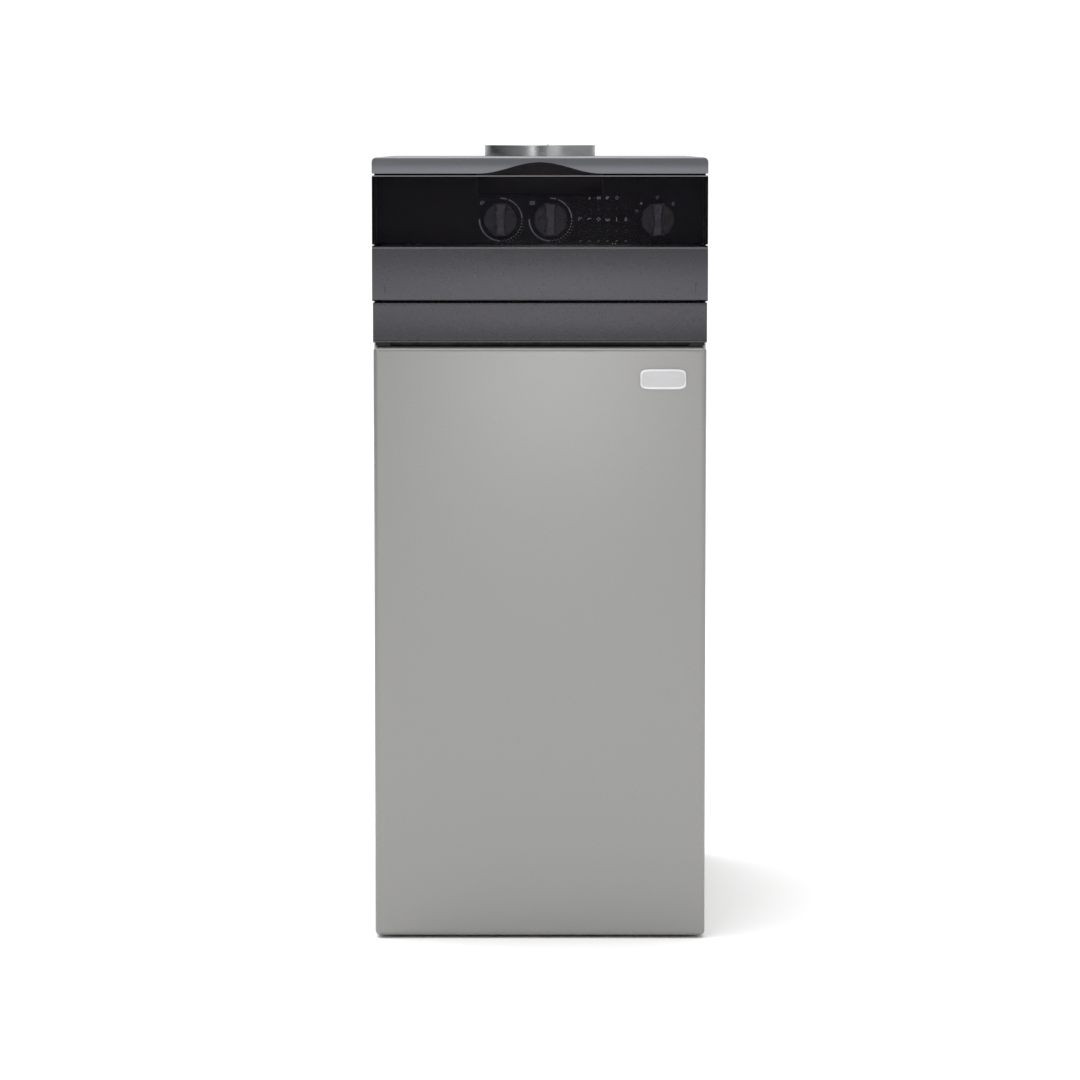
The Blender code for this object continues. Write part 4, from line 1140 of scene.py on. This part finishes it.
def floor():
    bm = bmesh.new()
    bmesh.ops.create_grid(bm, x_segments=4, y_segments=4, size=8.0)
    obj = solid(bm)
    obj.name = "floor"
    made = Surface("floor_pale", (0.93, 0.93, 0.93), 0.85)
    made.tint(made.noise(0.8, 2.0), (0.91, 0.91, 0.91), 0.5)
    made.gloss(made.noise(3.0), 0.8, 0.95)
    obj.data.materials.append(made.mat)


def world():
    """White seen directly; for everything else a soft studio, dim low down in front only."""
    made = bpy.data.worlds.new("studio")
    made.use_nodes = True
    bpy.context.scene.world = made
    tree = made.node_tree
    tree.nodes.clear()

    def add(kind, **settings):
        node = tree.nodes.new(kind)
        for key, value in settings.items():
            setattr(node, key, value)
        return node

    out = add("ShaderNodeOutputWorld")
    mix = add("ShaderNodeMixShader")
    path = add("ShaderNodeLightPath")
    seen = add("ShaderNodeBackground")
    lit = add("ShaderNodeBackground")
    place = add("ShaderNodeTexCoord")
    split = add("ShaderNodeSeparateXYZ")
    front = ramp_of(tree, ((0.0, 0.03), (0.06, 0.05), (0.20, 0.32), (0.42, 0.80), (0.75, 1.25)))
    back = ramp_of(tree, ((0.0, 0.80), (0.30, 0.90), (0.75, 1.25)))
    behind = add("ShaderNodeMapRange")
    right = add("ShaderNodeMapRange")
    most = add("ShaderNodeMath", operation="MAXIMUM")
    blend = add("ShaderNodeMix", data_type="RGBA")
    for node, start, end, level in ((behind, 0.55, 0.95, 1.0), (right, 0.35, 0.80, 0.5)):
        node.inputs["From Min"].default_value = start
        node.inputs["From Max"].default_value = end
        node.inputs["To Max"].default_value = level
    seen.inputs["Color"].default_value = (1, 1, 1, 1)
    seen.inputs["Strength"].default_value = 1.1
    lit.inputs["Strength"].default_value = 1.25
    link = tree.links.new
    link(place.outputs["Generated"], split.inputs[0])
    link(split.outputs["Z"], front.inputs["Fac"])
    link(split.outputs["Z"], back.inputs["Fac"])
    link(split.outputs["Y"], behind.inputs["Value"])
    link(split.outputs["X"], right.inputs["Value"])
    link(behind.outputs[0], most.inputs[0])
    link(right.outputs[0], most.inputs[1])
    link(most.outputs[0], blend.inputs[0])
    link(front.outputs["Color"], blend.inputs[6])
    link(back.outputs["Color"], blend.inputs[7])
    link(blend.outputs[2], lit.inputs["Color"])
    link(path.outputs["Is Camera Ray"], mix.inputs[0])
    link(lit.outputs[0], mix.inputs[1])
    link(seen.outputs[0], mix.inputs[2])
    link(mix.outputs[0], out.inputs["Surface"])


def ramp_of(tree, stops):
    """Colour ramp over height, in greys given as radiance out of 1.25."""
    node = tree.nodes.new("ShaderNodeValToRGB")
    elements = node.color_ramp.elements
    elements[0].position = stops[0][0]
    elements[1].position = stops[-1][0]
    for position, _ in stops[1:-1]:
        elements.new(position)
    for element, (_, level) in zip(elements, stops):
        element.color = (level / 1.25, level / 1.25, level / 1.25, 1)
    return node


def light(name, kind, location, target, energy, size=(1.0, 1.0), angle=0.0):
    data = bpy.data.lights.new(name, kind)
    data.energy = energy
    if kind == "AREA":
        data.shape = "RECTANGLE"
        data.size, data.size_y = size
    else:
        data.angle = angle
    obj = bpy.data.objects.new(name, data)
    obj.location = location
    heading = Vector(target) - Vector(location)
    obj.rotation_euler = heading.to_track_quat("-Z", "Y").to_euler()
    bpy.context.scene.collection.objects.link(obj)


def studio():
    world()
    floor()
    light("sun", "SUN", (-1.1, 0.6, 4.0), (0, 0, 0), 1.6, angle=math.radians(45))
    light("overhead", "AREA", (-0.3, -1.6, 2.8), (0, 0, 0.6), 12.0, (2.4, 1.2))
    light("panel_glow", "AREA", (0.04, -4.6, 0.45), (0, 0, 0.64), 3.2, (0.25, 0.25))
    light("left_strip", "AREA", (-1.25, -4.2, 1.3), (0, 0, 0.8), 13.0, (0.8, 1.8))
    light("right_softbox", "AREA", (1.95, -3.6, 1.3), (0, 0, 0.6), 13.0, (2.4, 2.0))
    bpy.context.scene.view_settings.view_transform = "Standard"


# --- Build ------------------------------------------------------------------------------

def finish_remaining_nodes():
    """CAD nodes whose shape is right as it is get their surface here."""
    slots = node_slots()
    for name, obj in frame["nodes"].items():
        if obj.hide_render or name == "front_crossbar":
            continue
        obj.data.materials.clear()
        obj.data.materials.append(MATERIALS[slots[name]])
        soften(obj, 0.35 * MM)


front_panel()
badge()
top_cover()
door_painted_part()
door_smoked_part()
lower_trim()
crossbar()
fascia()
lamps()
for knob_name in KNOBS:
    knob(knob_name)
prints()
flue_collar()
side_panels()
back_panel()
port_threads()
finish_remaining_nodes()
studio()
